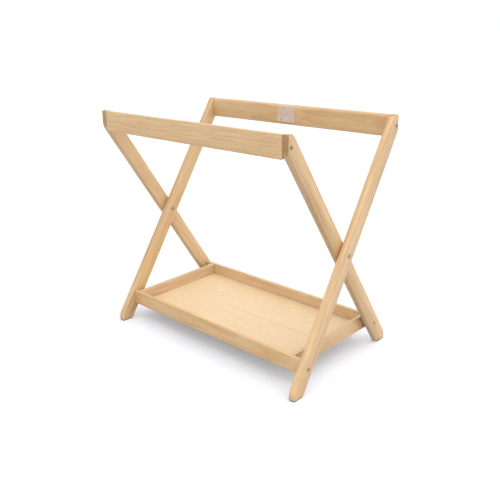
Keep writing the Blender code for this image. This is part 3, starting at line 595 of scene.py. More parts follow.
@dataclass(frozen=True)
class WoolFelt(Finish):
    """Pressed wool felt, cut to a pad.

    It gives the eye a matt dark grey-brown with matted fibres, and a faint pale bloom at its edges.
    """

    slot: Slot = Slot.FELT
    dark: str = "#3B3633"
    fibre: str = "#6A625C"
    roughness: float = 0.95
    sheen: float = 0.5
    fibre_mm: float = 0.5
    limits: Point2 = (0.4, 0.72)
    relief: Point2 = (0.7, 0.3 * MM)

    def inputs(self, add: Adder) -> dict:
        """Makes the nodes.

        Args:
            add: Adds a node to the material.

        Returns:
            What the shader's inputs get, and the relief.
        """
        marks = {"Scale": 1 / MM / self.fibre_mm, "Detail": 4.0, "Distortion": 1.5}
        fibres = add("TexNoise", {"Vector": add("TexCoord", out="Object"), **marks})
        return {
            "Base Color": add("ValToRGB", (fibres,), ramp=zip(self.limits, (self.dark, self.fibre))),
            "Roughness": self.roughness,
            "Sheen Weight": self.sheen,
            "Height": fibres,
        }


class Finishes:
    """The finishes that several pieces share."""

    def __init__(self) -> None:
        """Makes their materials. Each board gets its own of the rubberwood later."""
        self.rubberwood = Rubberwood()
        self.plywood = BirchPlywood().dress("birch_plywood")
        self.dowel = BeechDowel().dress("raw_beech")
        self.steel = ZincPlatedSteel().dress("zinc_plated_steel")
        self.plastic = ClearPolycarbonate().dress("clear_polycarbonate")
        self.felt = WoolFelt().dress("wool_felt")


@dataclass(frozen=True)
class Side:
    """A straight side of a board's outline: its start, the fillet there and its two edges' roundings."""

    start: Point2
    fillet: float
    low_round: float
    high_round: float


def arc(steps: int) -> list[Point2]:
    """Lists the sine, and 1 less the cosine, at even steps of a quarter turn."""
    turns = [math.pi / 2 * step / steps for step in range(steps + 1)]
    return [(math.sin(turn), 1 - math.cos(turn)) for turn in turns]


def arc_steps(turn: float, radius: float) -> int:
    """Counts the facets that an arc of a turn and a radius needs to look round."""
    return max(2, math.ceil(turn / (2 * math.acos(1 - min(CHORD_ERROR / radius, 0.5)))))


def layer_depths(radii: list[float]) -> list[float]:
    """Finds the depths under a face at which a board with rounded edges changes its outline.

    Args:
        radii: The roundings of the face's edges.

    Returns:
        The depths, from the face inwards.
    """
    kept = []
    depths = {radius * rise for radius in set(radii) for _, rise in arc(arc_steps(math.pi / 2, radius))}
    for depth in sorted(depths):
        if not kept or depth - kept[-1] > LEAST_LAYER:
            kept.append(depth)
    return kept


def inset_at(radius: float, depth: float) -> float:
    """Finds how far a rounded edge stands back at a depth under its face."""
    return 0.0 if depth >= radius else radius - math.sqrt(radius**2 - (radius - depth) ** 2)


def inset_outline(sides: list[Side], insets: list[float]) -> list[Vector]:
    """Moves each side of an outline inwards by its own inset and fillets the corners.

    Args:
        sides: The outline, anticlockwise.
        insets: How far each side moves.

    Returns:
        The outline's points.
    """
    lines = []
    for index, side in enumerate(sides):
        start = Vector(side.start)
        along = (Vector(sides[(index + 1) % len(sides)].start) - start).normalized()
        inward = Vector((-along.y, along.x))
        lines.append((start + inward * insets[index], along, inward))
    points = []
    for index, side in enumerate(sides):
        before_at, before, inward = lines[index - 1]
        after_at, after, _ = lines[index]
        turn = -before.angle_signed(after)
        apart = after_at - before_at
        corner = before_at + before * (apart.cross(after) / before.cross(after))
        radius = max(LEAST_CORNER, side.fillet - max(insets[index - 1], insets[index]))
        centre = corner - before * radius * math.tan(turn / 2) + inward * radius
        spoke = inward * -radius
        steps = arc_steps(turn, max(side.fillet, LEAST_CORNER))
        points += [centre + Matrix.Rotation(turn * step / steps, 2) @ spoke for step in range(steps + 1)]
    return points


def closed_mesh(points: list, faces: list) -> Mesh:
    """Makes a closed mesh whose faces look outwards.

    Args:
        points: Its points.
        faces: Its faces, as tuples of point numbers.

    Returns:
        The mesh.
    """
    mesh = bpy.data.meshes.new("shape")
    mesh.from_pydata(points, [], faces)
    shape = bmesh.new()
    shape.from_mesh(mesh)
    bmesh.ops.recalc_face_normals(shape, faces=shape.faces)
    shape.to_mesh(mesh)
    shape.free()
    return mesh


def ring_faces(rings: int, size: int) -> list[tuple[int, ...]]:
    """Joins successive rings of points with faces, and closes both ends.

    Args:
        rings: How many rings there are.
        size: How many points each has.

    Returns:
        The faces.
    """
    faces = [tuple(reversed(range(size))), tuple(range((rings - 1) * size, rings * size))]
    for low in range(0, (rings - 1) * size, size):
        for index in range(size):
            after = (index + 1) % size
            faces.append((low + index, low + after, low + size + after, low + size + index))
    return faces


def board_mesh(sides: list[Side], thickness: float) -> Mesh:
    """Makes a board with rounded edges: X and Y lie in its outline, and Z runs through it.

    Args:
        sides: The outline, anticlockwise.
        thickness: How thick the board is.

    Returns:
        The mesh.
    """
    low = [(depth, depth, "low_round") for depth in layer_depths([side.low_round for side in sides])]
    high = [(thickness - depth, depth, "high_round") for depth in layer_depths([s.high_round for s in sides])]
    points = []
    for level, depth, edge in (*low, *reversed(high)):
        outline = inset_outline(sides, [inset_at(getattr(side, edge), depth) for side in sides])
        points.extend((*point, level) for point in outline)
    return closed_mesh(points, ring_faces(len(low) + len(high), len(outline)))


def slab(
    low: Point2, high: Point2, thickness: float, rounds: Point2 | list[Point2], fillets: float | list[float]
) -> Mesh:
    """Makes a four-sided board with rounded edges.

    Args:
        low: The outline's low corner.
        high: Its high corner.
        thickness: How thick it is.
        rounds: The roundings on the low and the high face, the same all round or one pair for each side.
        fillets: The corners' fillets, all alike or one for each side's start, from the low corner round.

    Returns:
        The mesh.
    """
    pairs = rounds if isinstance(rounds, list) else [rounds] * 4
    corners = fillets if isinstance(fillets, list) else [fillets] * 4
    starts = (low, (high[0], low[1]), high, (low[0], high[1]))
    sides = [Side(start, fillet, *pair) for start, fillet, pair in zip(starts, corners, pairs)]
    return board_mesh(sides, thickness)


def block(low: Point3, high: Point3) -> Mesh:
    """Makes a cutter for a groove or a notch from its lowest and its highest corner."""
    ring = ((low[0], low[1]), (high[0], low[1]), (high[0], high[1]), (low[0], high[1]))
    return closed_mesh([(*p, z) for z in (low[2], high[2]) for p in ring], ring_faces(2, 4))


def lathe(profile: list[Point2], segments: int = ROUND_SEGMENTS) -> Mesh:
    """Turns a profile about X.

    Args:
        profile: Pairs of x and radius, from the axis back to the axis, or a closed ring.
        segments: How many sides it has.

    Returns:
        The mesh.
    """
    points, rows, faces = [], [], []
    for x, radius in profile:
        count = segments if radius > 0 else 1
        rows.append(range(len(points), len(points) + count))
        for index in range(count):
            angle = 2 * math.pi * index / segments
            points.append((x, radius * math.cos(angle), radius * math.sin(angle)))
    if profile[0][1] > 0:
        rows.append(rows[0])
    for left, right in zip(rows, rows[1:]):
        for index in range(segments):
            after = (index + 1) % segments
            corners = [left[index % len(left)], left[after % len(left)]]
            corners += [right[after % len(right)], right[index % len(right)]]
            faces.append(tuple(dict.fromkeys(corners)))
    return closed_mesh(points, faces)


def moved(mesh: Mesh, matrix: Matrix) -> Mesh:
    """Moves a mesh and hands it back."""
    mesh.transform(matrix)
    return mesh


def bore(
    at: Point3, depth: float, radius: float, inwards: float = 1.0, mouth: float = 0.0, upright: bool = False
) -> Mesh:
    """Makes a cutter for a round bore along X.

    Args:
        at: Where the bore's axis meets the face that it is cut in.
        depth: How deep it goes.
        radius: Its radius.
        inwards: 1 if it goes up the axis, and -1 if it goes down.
        mouth: How far its rim is broken.
        upright: Whether it goes along Z instead.

    Returns:
        The cutter's mesh.
    """
    start, end = -CUT_PAST * inwards, depth * inwards
    profile = [(start, 0.0), (start, radius), (end, radius), (end, 0.0)]
    if mouth:
        wide = radius + 2 * mouth
        profile[1:2] = [(start, wide), (-mouth * inwards, wide), (mouth * inwards, radius)]
    place = Matrix.Translation(at)
    return moved(lathe(profile), place @ X_TO_Z if upright else place)


def placed(name: str, data: bpy.types.ID, place: Matrix | None = None) -> bpy.types.Object:
    """Puts a mesh, a lamp or a camera in the scene.

    Args:
        name: Its name.
        data: What it is.
        place: Where it goes, if not where it was made.

    Returns:
        Its object.
    """
    thing = bpy.data.objects.new(name, data)
    bpy.context.scene.collection.objects.link(thing)
    thing.matrix_world = place or Matrix.Identity(4)
    return thing


def worked(mesh: Mesh, others: list[Mesh], work: Work = Work.CUT) -> Mesh:
    """Works one mesh with others, each in turn.

    Args:
        mesh: The mesh that is worked on.
        others: The meshes that cut it or join it.
        work: Whether they cut or join.

    Returns:
        A plain mesh of the result, with its seams welded.
    """
    helpers = [placed("helper", used) for used in (mesh, *others)]
    for helper in helpers[1:]:
        modifier = helpers[0].modifiers.new("shape", "BOOLEAN")
        modifier.operation = work.value
        modifier.solver = "EXACT"
        modifier.object = helper
    bpy.context.view_layer.update()
    graph = bpy.context.evaluated_depsgraph_get()
    result = bpy.data.meshes.new_from_object(helpers[0].evaluated_get(graph))
    seams = bmesh.new()
    seams.from_mesh(result)
    bmesh.ops.remove_doubles(seams, verts=seams.verts, dist=WELD)
    seams.to_mesh(result)
    seams.free()
    for used in (mesh, *others):
        bpy.data.meshes.remove(used)  # its helper goes with it
    return result


@dataclass(frozen=True)
class PieceMaker:
    """Puts pieces on one body of the stand."""

    body: Body
    turn: Matrix = field(default_factory=lambda: Matrix.Identity(4))

    def add(self, node: str, mesh: Mesh, place: Matrix, dress: Dress) -> None:
        """Adds the finer piece that stands for a node of the frame.

        Args:
            node: The node's name.
            mesh: The piece's mesh in its own axes. It is copied.
            place: Where it goes in the frame before the body's own turn.
            dress: Its material and the record's slot of that finish.
        """
        material, slot = dress
        own = mesh.copy()
        own.name = f"fine_{node}"
        own.shade_smooth()
        own.set_sharp_from_angle(angle=SHARP_ANGLE)
        own.materials.clear()
        own.materials.append(material)
        piece = placed(f"fine_{node}", own, self.turn @ place)
        piece.modifiers.new("flat_faces_lead", "WEIGHTED_NORMAL").keep_sharp = True
        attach(piece, self.body.value)
        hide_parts(node)
        self.report(piece, node)

    def report(self, piece: bpy.types.Object, node: str) -> None:
        """Says where a piece is, and warns if it leaves its node's box.

        Args:
            piece: The piece.
            node: The node that it stands for.
        """
        bpy.context.view_layer.update()
        spans = zip(*(piece.matrix_world @ vertex.co for vertex in piece.data.vertices))
        gaps = [(min(s) - low, max(s) - high) for s, low, high in zip(spans, *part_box(node))]
        apart = max(abs(gap) for pair in gaps for gap in pair) / MM
        level = logging.WARNING if apart > MOST_APART_MM else logging.INFO
        faces = len(piece.data.polygons)
        log.log(level, "%s stands for %s, within %.2f mm, %d faces", piece.name, node, apart, faces)


def keep_node(node: str, dress: Dress) -> None:
    """Gives a node of the frame, which stays as it is, its finish.

    Args:
        node: The node's name.
        dress: Its material and the record's slot of that finish.
    """
    material, slot = dress
    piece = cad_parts[node]
    piece.data.materials.clear()
    piece.data.materials.append(material)
    log.info("%s stays as packed, in %s", node, material.name)


@dataclass(frozen=True)
class HeadedBolt:
    """A furniture bolt with a flat head and a hexagon socket. Its axis is X, and its top is at x = 0."""

    head_radius: float
    head_thickness: float
    length: float
    radius: float = 3.0 * MM
    rim: float = 0.6 * MM
    crown: float = 0.96 * MM
    under_edge: float = 0.2 * MM
    socket_width: float = 5.0 * MM
    socket_depth: float = 2.9 * MM
    socket_cone: float = 0.4 * MM
    socket_mouth: float = 0.25 * MM
    socket_break: Point2 = (-0.02 * MM, 0.28 * MM)
    bore_depth: float = 0.0
    bore_radius: float = 3.3 * MM

    def mesh(self) -> Mesh:
        """Turns the bolt, rounds its head's rim and cuts its socket.

        Returns:
            The mesh.
        """
        head, under, end = self.head_radius, self.head_thickness, self.head_thickness + self.length
        flat = head - self.crown
        profile = [(0.0, 0.0), *((self.rim * rise, flat + self.crown * out) for out, rise in arc(6))]
        profile += [(under - self.under_edge, head), (under, head - self.under_edge), (under, self.radius)]
        if self.bore_depth:
            bottom = end - self.bore_depth
            profile += [(end, self.radius), (end, self.bore_radius)]
            profile += [(bottom, self.bore_radius), (bottom, 0.0)]
        else:
            profile += [(end - self.rim, self.radius), (end, self.radius - self.rim), (end, 0.0)]
        corner = self.socket_width / math.sqrt(3)
        wide = corner + self.socket_mouth
        break_from, break_to = self.socket_break
        hexagon = [(-CUT_PAST, 0.0), (-CUT_PAST, wide), (break_from, wide), (break_to, corner)]
        hexagon += [(self.socket_depth - self.socket_cone, corner), (self.socket_depth, 0.0)]
        return worked(lathe(profile), [lathe(hexagon, 6)])


@dataclass(frozen=True)
class Leg:
    """A leg: it slants from the floor at one side up to its frame's rail at the other."""

    width: float = 50.0 * MM
    thickness: float = 21.0 * MM
    height: float = 720.0 * MM
    rail_spread: float = 472.0 * MM
    top_overshoot: float = 6.3 * MM
    floor_gap: float = 3.3 * MM
    long_round: float = 7.0 * MM
    cut_round: float = 1.0 * MM
    toe_cut: float = 13.0 * MM
    toe_round: float = 4.5 * MM
    instep_round: float = 36.0 * MM
    heel_round: float = 12.0 * MM
    bend_round: float = 38.0 * MM
    crown_round: float = 15.0 * MM
    recess_depth: float = 4.4 * MM
    recess_radius: float = 5.9 * MM
    pivot_recess_radius: float = 7.2 * MM
    sleeve_recess_depth: float = 3.6 * MM
    bore_radius: float = 3.3 * MM
    sleeve_bore: float = 5.3 * MM
    sleeve_in_outer: float = 9.7 * MM
    dowel_bore: float = 4.3 * MM
    dowel_depth: float = 12.7 * MM
    dowel_spread: float = 38.0 * MM
    rail_middle: Point2 = (-226.0 * MM, 338.5 * MM)
    tray_bolt: Point2 = (180.257 * MM, -276.0 * MM)
    broken_rim: float = 0.25 * MM
    end_browns: Point2 = (0.1, 1.0)

    @property
    def splay(self) -> float:
        """The leg's slant from the plumb line."""
        return math.atan((self.rail_spread / 2 + self.top_overshoot) / (self.height - PIVOT_HEIGHT))

    def along(self, y: float, z: float) -> Point2:
        """Turns a place behind and above the pivot to one along and across the leg."""
        sine, cosine = math.sin(self.splay), math.cos(self.splay)
        return (-sine * y + cosine * z, -cosine * y - sine * z)

    @property
    def axes(self) -> Matrix:
        """The leg's own directions in the frame: along it, across it and through it."""
        sine, cosine = math.sin(self.splay), math.cos(self.splay)
        return Matrix(((0, 0, 1), (-sine, -cosine, 0), (cosine, -sine, 0)))

    def sides(self) -> list[Side]:
        """Lays out the leg's outline: slanting sides, floor cut, top cut and plumb cut.

        Returns:
            The sides, anticlockwise.
        """
        slope = math.tan(self.splay)
        half = self.width / 2 / math.cos(self.splay)
        floor, top = self.floor_gap - PIVOT_HEIGHT, self.height - PIVOT_HEIGHT
        plumb = -self.rail_spread / 2
        toe = half - floor * slope - self.toe_cut
        cut, long = (self.cut_round,) * 2, (self.long_round,) * 2
        return [
            Side(self.along(-floor * slope - half, floor), self.heel_round, *cut),
            Side(self.along(toe, floor), self.toe_round, *long),
            Side(self.along(toe, floor + self.toe_cut / slope), self.instep_round, *long),
            Side(self.along(-top * slope + half, top), self.crown_round, *cut),
            Side(self.along(plumb, top), self.cut_round, *cut),
            Side(self.along(plumb, (-plumb - half) / slope), self.bend_round, *long),
        ]

    def mesh(self, is_outer: bool) -> Mesh:
        """Makes the leg with its recesses and bores, leaning as it stands, about its pivot.

        Args:
            is_outer: Whether it is the outer leg of its crossing, which takes the pivot bolt's head. Its
                low face looks outwards, and the inner leg's high face does.

        Returns:
            The mesh.
        """
        pivot, rim = (0.0, 0.0), self.broken_rim
        through = self.thickness + CUT_PAST
        outside, inside = [], []
        for at in (self.rail_middle, self.tray_bolt):
            outside.append((at, through, self.bore_radius, 0.0))
            outside.append((at, self.recess_depth, self.recess_radius, rim))
        for rise in (-self.dowel_spread / 2, self.dowel_spread / 2):
            at = (self.rail_middle[0], self.rail_middle[1] + rise)
            inside.append((at, self.dowel_depth, self.dowel_bore, 0.0))
        if is_outer:
            outside.append((pivot, through, self.bore_radius, 0.0))
            outside.append((pivot, self.recess_depth, self.pivot_recess_radius, rim))
            inside.append((pivot, self.sleeve_in_outer, self.sleeve_bore, 0.0))
        else:
            outside.append((pivot, through, self.sleeve_bore, 0.0))
            inside.append((pivot, self.sleeve_recess_depth, self.pivot_recess_radius, rim))
        cutters = []
        outwards = -1.0 if is_outer else 1.0
        for holes, inwards in ((outside, -outwards), (inside, outwards)):
            face = 0.0 if inwards > 0 else self.thickness
            for at, depth, radius, mouth in holes:
                cutters.append(bore((*self.along(*at), face), depth, radius, inwards, mouth, upright=True))
        return moved(worked(board_mesh(self.sides(), self.thickness), cutters), self.axes.to_4x4())


@dataclass(frozen=True)
class TopRail:
    """A top rail: rounded over its inner top edge, where the bassinet slides in."""

    length: float = 733.4 * MM
    height: float = 65.0 * MM
    thickness: float = 20.0 * MM
    top: float = 720.0 * MM
    inner_round: float = 12.0 * MM
    outer_round: float = 3.0 * MM
    lower_round: float = 4.5 * MM
    corner_round: float = 7.0 * MM
    end_round: float = 0.8 * MM
    insert_bore: float = 5.3 * MM
    insert_depth: float = 16.3 * MM
    dowel_bore: float = 4.3 * MM
    dowel_depth: float = 18.7 * MM
    dowel_edge: float = 13.5 * MM
    end_browns: Point2 = (0.1, 0.1)

    def place(self, start: float, inner_y: float) -> Matrix:
        """Finds what takes its left end and inner face there, from axes in which y = 0 is its top."""
        turn = Matrix(((1, 0, 0), (0, 0, -1), (0, 1, 0))).to_4x4()
        return Matrix.Translation((start, inner_y, self.top)) @ turn

    def mesh(self) -> Mesh:
        """Makes the rail with the bores in its ends.

        Returns:
            The mesh.
        """
        square, lower = (self.end_round,) * 2, (self.lower_round,) * 2
        rounds = [lower, square, (self.inner_round, self.outer_round), square]
        fillets = [self.corner_round, self.corner_round, self.end_round, self.end_round]
        rail = slab((0.0, -self.height), (self.length, 0.0), self.thickness, rounds, fillets)
        holes = (
            (-self.height / 2, self.insert_depth, self.insert_bore),
            (-self.dowel_edge, self.dowel_depth, self.dowel_bore),
            (self.dowel_edge - self.height, self.dowel_depth, self.dowel_bore),
        )
        return worked(
            rail,
            [
                bore((end, level, self.thickness / 2), depth, radius, inwards)
                for end, inwards in ((0.0, 1.0), (self.length, -1.0))
                for level, depth, radius in holes
            ],
        )


@dataclass(frozen=True)
class RailClip:
    """A moulded clip: a saddle over the rail's inner top edge, with upright ribs and a screw band below.

    Its own axes are the rail's, with its middle at x = 0: y is 0 at the rail's top and z runs to the outside.
    """

    width: float = 67.0 * MM
    drop: float = 55.0 * MM
    wall: float = 2.2 * MM
    lip: float = 4.5 * MM
    rail_thickness: float = 20.0 * MM
    rail_round: float = 12.0 * MM
    band_width: float = 76.0 * MM
    band_height: float = 14.0 * MM
    band_thickness: float = 3.6 * MM
    band_inset: float = 0.1 * MM
    band_corner: float = 5.0 * MM
    edge_round: float = 0.5 * MM
    rib_count: int = 5
    rib_spacing: float = 12.5 * MM
    rib_width: float = 2.8 * MM
    rib_height: float = 1.2 * MM
    rib_end_room: float = 4.0 * MM
    rib_rounds: Point2 = (0.6 * MM, 0.05 * MM)
    rib_corner: float = 0.84 * MM
    flat_strip: float = 0.8 * MM
    screw_spread: float = 42.0 * MM
    screw_rise: float = 6.0 * MM
    screw_bore: float = 1.8 * MM
    screw_seat: float = 3.5 * MM
    screw_seat_depth: float = 1.9 * MM
    screw_seat_rim: float = 0.2 * MM

    def screw_places(self) -> list[Point3]:
        """Lists where the two screws' seats open, in the clip's own axes."""
        level, depth = self.screw_rise - self.drop, -FIT_GAP - self.band_thickness
        return [(-self.screw_spread / 2, level, depth), (self.screw_spread / 2, level, depth)]

    def mesh(self) -> Mesh:
        """Makes the clip in one piece.

        Returns:
            The mesh.
        """
        through, rim = self.band_thickness + CUT_PAST, self.screw_seat_rim
        cutters = []
        for at in self.screw_places():
            cutters.append(bore(at, through, self.screw_bore, upright=True))
            cutters.append(bore(at, self.screw_seat_depth, self.screw_seat, mouth=rim, upright=True))
        return worked(worked(self._saddle(), [self._band(), *self._ribs()], Work.JOIN), cutters)

    def _saddle(self) -> Mesh:
        """Makes the wall that follows the rail's top and inner face.

        Returns:
            The mesh.
        """
        lip_z = self.rail_thickness - self.lip
        faces = []
        for grow in (FIT_GAP + self.wall, FIT_GAP):
            bend, radius = self.rail_round, self.rail_round + grow
            path = [(grow, lip_z)]
            path += [(radius * (1 - rise) - bend, bend - radius * out) for out, rise in arc(14)]
            path += [(-self.rail_round - self.flat_strip, -grow), (self.band_height / 2 - self.drop, -grow)]
            faces.append([Vector(point) for point in path])
        half, points = self.width / 2, []
        inset = half - self.edge_round
        for x, shrink in ((-half, self.edge_round), (-inset, 0.0), (inset, 0.0), (half, self.edge_round)):
            across = [(near - far).normalized() * shrink for far, near in zip(*faces)]
            outer = [(x, *(far + step)) for far, step in zip(faces[0], across)]
            points += outer + [(x, *(near - step)) for near, step in zip(faces[1], across)][::-1]
        return closed_mesh(points, ring_faces(4, len(points) // 4))

    def _band(self) -> Mesh:
        """Makes the thicker band along the clip's foot.

        Returns:
            The mesh.
        """
        low, high = (-self.band_width / 2, -self.drop), (self.band_width / 2, self.band_height - self.drop)
        rounds = (self.edge_round, self.edge_round)
        band = slab(low, high, self.band_thickness - self.band_inset, rounds, self.band_corner)
        return moved(band, Matrix.Translation((0, 0, -FIT_GAP - self.band_thickness)))

    def _ribs(self) -> list[Mesh]:
        """Makes the upright ribs, rounded at their ends and along their tops.

        Returns:
            The meshes.
        """
        ribs = []
        foot = self.band_height / 2 - self.drop + self.rib_width
        head = -self.rail_round - self.rib_end_room
        half, depth = self.rib_width / 2, self.wall / 2 + self.rib_height
        for index in range(self.rib_count):
            x = (index - (self.rib_count - 1) / 2) * self.rib_spacing
            low, high = (x - half, foot), (x + half, head)
            rib = slab(low, high, depth, self.rib_rounds, self.rib_corner)
            ribs.append(moved(rib, Matrix.Translation((0, 0, -FIT_GAP - self.wall - self.rib_height))))
        return ribs


@dataclass(frozen=True)
class ClipScrew:
    """A small pan-head screw with a cross recess. Its axis is X, and its head's top is at x = 0."""

    head_radius: float = 3.2 * MM
    head_thickness: float = 1.6 * MM
    dome_share: float = 0.7
    flat_share: float = 0.55
    radius: float = 1.5 * MM
    reach: float = 15.6 * MM
    cross: tuple[float, float] = (1.7 * MM, 0.45 * MM)
    cross_depth: float = 1.1 * MM
    cross_turn: float = 0.4
    cutter_length: float = 3.0 * MM
    cutter_rounds: Point2 = (0.05 * MM, 0.05 * MM)
    cutter_corner: float = 0.2 * MM
    plain_length: float = 3.6 * MM
    point_length: float = 2.88 * MM
    pitch: float = 1.2 * MM
    thread_depth: float = 0.3 * MM

    def mesh(self) -> Mesh:
        """Turns the screw with its thread's ridges and cuts its cross.

        Returns:
            The mesh.
        """
        head, under, flat = self.head_radius, self.head_thickness, self.flat_share
        root = self.radius - self.thread_depth
        profile = [(self.dome_share * under * rise, head * (flat + (1 - flat) * out)) for out, rise in arc(6)]
        profile = [(0.0, 0.0), *profile, (under, head), (under, self.radius)]
        x = under + self.plain_length
        while x < self.reach - self.point_length:
            profile += [(x, root), (x + self.pitch / 2, self.radius)]
            x += self.pitch
        profile += [(self.reach - self.radius, root), (self.reach, 0.0)]
        arms = []
        long, wide = self.cross
        lift = Matrix.Translation((self.cross_depth - self.cutter_length, 0, 0))
        for turn in (self.cross_turn, math.pi / 2 + self.cross_turn):
            rounds, corner = self.cutter_rounds, self.cutter_corner
            arm = slab((-long, -wide), (long, wide), self.cutter_length, rounds, corner)
            place = Matrix.Rotation(turn, 4, "X") @ lift @ Matrix.Rotation(math.pi / 2, 4, "Y")
            arms.append(moved(arm, place))
        return worked(lathe(profile, 32), arms)


@dataclass(frozen=True)
class FootPad:
    """A felt pad under a leg's foot, glued in its middle. Its own z = 0 is the floor."""

    length: float = 36.0 * MM
    width: float = 18.6 * MM
    thickness: float = 3.0 * MM
    corner: float = 3.0 * MM
    edge: float = 0.3 * MM
    middle_y: float = 221.03 * MM

    def mesh(self) -> Mesh:
        """Cuts the pad."""
        x, y = self.width / 2, self.length / 2
        return slab((-x, -y), (x, y), self.thickness, (self.edge, self.edge), self.corner)


class FrameMeshes:
    """The shapes that the front and the rear frame share."""

    def __init__(self) -> None:
        """Makes the shapes."""
        self.outer_leg = Leg().mesh(is_outer=True)
        self.inner_leg = Leg().mesh(is_outer=False)
        self.rail = TopRail().mesh()
        self.clip = RailClip().mesh()
        self.screw = ClipScrew().mesh()
        self.pad = FootPad().mesh()
        self.rail_bolt = HeadedBolt(5.2 * MM, 3.4 * MM, 29.1 * MM).mesh()


@dataclass(kw_only=True)
class Assembly:
    """What the stand's sub-assemblies share: finishes, the leg, and where legs and bolts' heads are."""

    finishes: Finishes
    leg: Leg = field(default_factory=Leg)
    outer_face_x: float = 399.5 * MM
    inner_leg_x: float = 355.5 * MM
    recess_gap: float = 0.7 * MM
    socket_turns: Point2 = (0.0, 0.0)

    def bolt_turn(self, index: int) -> Matrix:
        """Finds how a bolt is turned: a pair's first head is on the left, its second on the right."""
        return Matrix.Rotation(math.pi * index, 4, "Z") @ Matrix.Rotation(self.socket_turns[index], 4, "X")


@dataclass(kw_only=True)
class RailFrame(Assembly):
    """One of the two frames: a top rail on its two legs, with its pads, bolts, clip and screws."""

    name: str
    maker: PieceMaker
    hands: tuple[Hand, Hand]
    looks: dict[str, BoardLook]
    rail: TopRail = field(default_factory=TopRail)
    clip: RailClip = field(default_factory=RailClip)
    pad: FootPad = field(default_factory=FootPad)
    clip_offset: float = 8.0 * MM
    socket_turns: Point2 = (0.35, 1.45)

    def build(self, meshes: FrameMeshes) -> None:
        """Places the frame's pieces. Its hands name the side of its outer leg, and that of its inner leg.

        Args:
            meshes: The shapes that both frames share.
        """
        wood = self.finishes.rubberwood
        shapes = ((meshes.outer_leg, -self.outer_face_x), (meshes.inner_leg, self.inner_leg_x))
        for hand, (mesh, x) in zip(self.hands, shapes):
            node = f"{self.name}_frame_{hand}_leg"
            look = self.looks[f"{hand}_leg"]
            dress = wood.dress(f"rubberwood_{node}", look, self.leg.axes, self.leg.end_browns)
            self.maker.add(node, mesh, Matrix.Translation((x, 0, PIVOT_HEIGHT)), dress)
        inner_y = self.rail.thickness - self.leg.rail_spread / 2
        start = self.leg.thickness + FIT_GAP - self.outer_face_x
        node = f"{self.name}_top_rail"
        dress = wood.dress(f"rubberwood_{node}", self.looks["rail"], STRAIGHT, self.rail.end_browns)
        self.maker.add(node, meshes.rail, self.rail.place(start, inner_y), dress)
        clip_place = self.rail.place(self.clip_offset, inner_y)
        self.maker.add(f"{self.name}_rail_clip", meshes.clip, clip_place, self.finishes.plastic)
        for hand, at in zip(self.hands, self.clip.screw_places()):
            place = clip_place @ Matrix.Translation(at) @ X_TO_Z
            self.maker.add(f"{self.name}_clip_{hand}_screw", meshes.screw, place, self.finishes.steel)
        self._add_side_fixings(meshes)

    def _add_side_fixings(self, meshes: FrameMeshes) -> None:
        """Adds what each side has: a rail bolt and a foot pad, and the hidden insert and dowels.

        Args:
            meshes: The shapes that both frames share.
        """
        bolt_y, bolt_z = self.leg.rail_middle
        faces = ((-self.outer_face_x, 1.0), (self.inner_leg_x + self.leg.thickness, -1.0))
        for index, (hand, (face_x, inwards)) in enumerate(zip(self.hands, faces)):
            at = (face_x + inwards * self.recess_gap, bolt_y, PIVOT_HEIGHT + bolt_z)
            label = f"{self.name}_{hand}"
            place = Matrix.Translation(at) @ self.bolt_turn(index)
            self.maker.add(f"{label}_rail_bolt", meshes.rail_bolt, place, self.finishes.steel)
            at = (face_x + inwards * self.leg.thickness / 2, self.pad.middle_y, 0.0)
            node = f"{self.name}_frame_{hand}_foot_pad"
            self.maker.add(node, meshes.pad, Matrix.Translation(at), self.finishes.felt)
            keep_node(f"{label}_rail_insert", self.finishes.steel)
            for level in ("upper", "lower"):
                keep_node(f"{label}_{level}_rail_dowel", self.finishes.dowel)


@dataclass(kw_only=True)
class Pivots(Assembly):
    """The bolt, sleeve nut and washer at each crossing of the legs. They stay with the rear frame."""

    maker: PieceMaker
    bolt: HeadedBolt = HeadedBolt(6.5 * MM, 3.4 * MM, 29.4 * MM)
    sleeve_nut: HeadedBolt = HeadedBolt(6.5 * MM, 2.6 * MM, 28.7 * MM, 5.0 * MM, bore_depth=22.2 * MM)
    washer_radii: Point2 = (5.3 * MM, 11.0 * MM)
    washer_faces: Point2 = (0.3 * MM, 1.7 * MM)
    washer_edge: float = 0.2 * MM
    socket_turns: Point2 = (-0.1, 0.5)

    def build(self) -> None:
        """Places both crossings' fixings."""
        (inner, outer), (low, high), edge = self.washer_radii, self.washer_faces, self.washer_edge
        profile = [(low, inner), (low, outer - edge), (low + edge, outer), (high - edge, outer)]
        washer = lathe([*profile, (high, outer - edge), (high, inner)])
        bolt, sleeve = self.bolt.mesh(), self.sleeve_nut.mesh()
        for index, (hand, outwards) in enumerate(((Hand.LEFT, -1.0), (Hand.RIGHT, 1.0))):
            turn, bolt_turn = Matrix.Rotation(math.pi * index, 4, "Z"), self.bolt_turn(index)
            for kind, mesh, x, facing in (
                ("pivot_bolt", bolt, self.outer_face_x - self.recess_gap, bolt_turn),
                ("pivot_sleeve_nut", sleeve, self.inner_leg_x + self.recess_gap, HALF_TURN @ bolt_turn),
                ("pivot_washer", washer, self.outer_face_x - self.leg.thickness, turn),
            ):
                place = Matrix.Translation((outwards * x, 0.0, PIVOT_HEIGHT)) @ facing
                self.maker.add(f"{hand}_{kind}", mesh, place, self.finishes.steel)


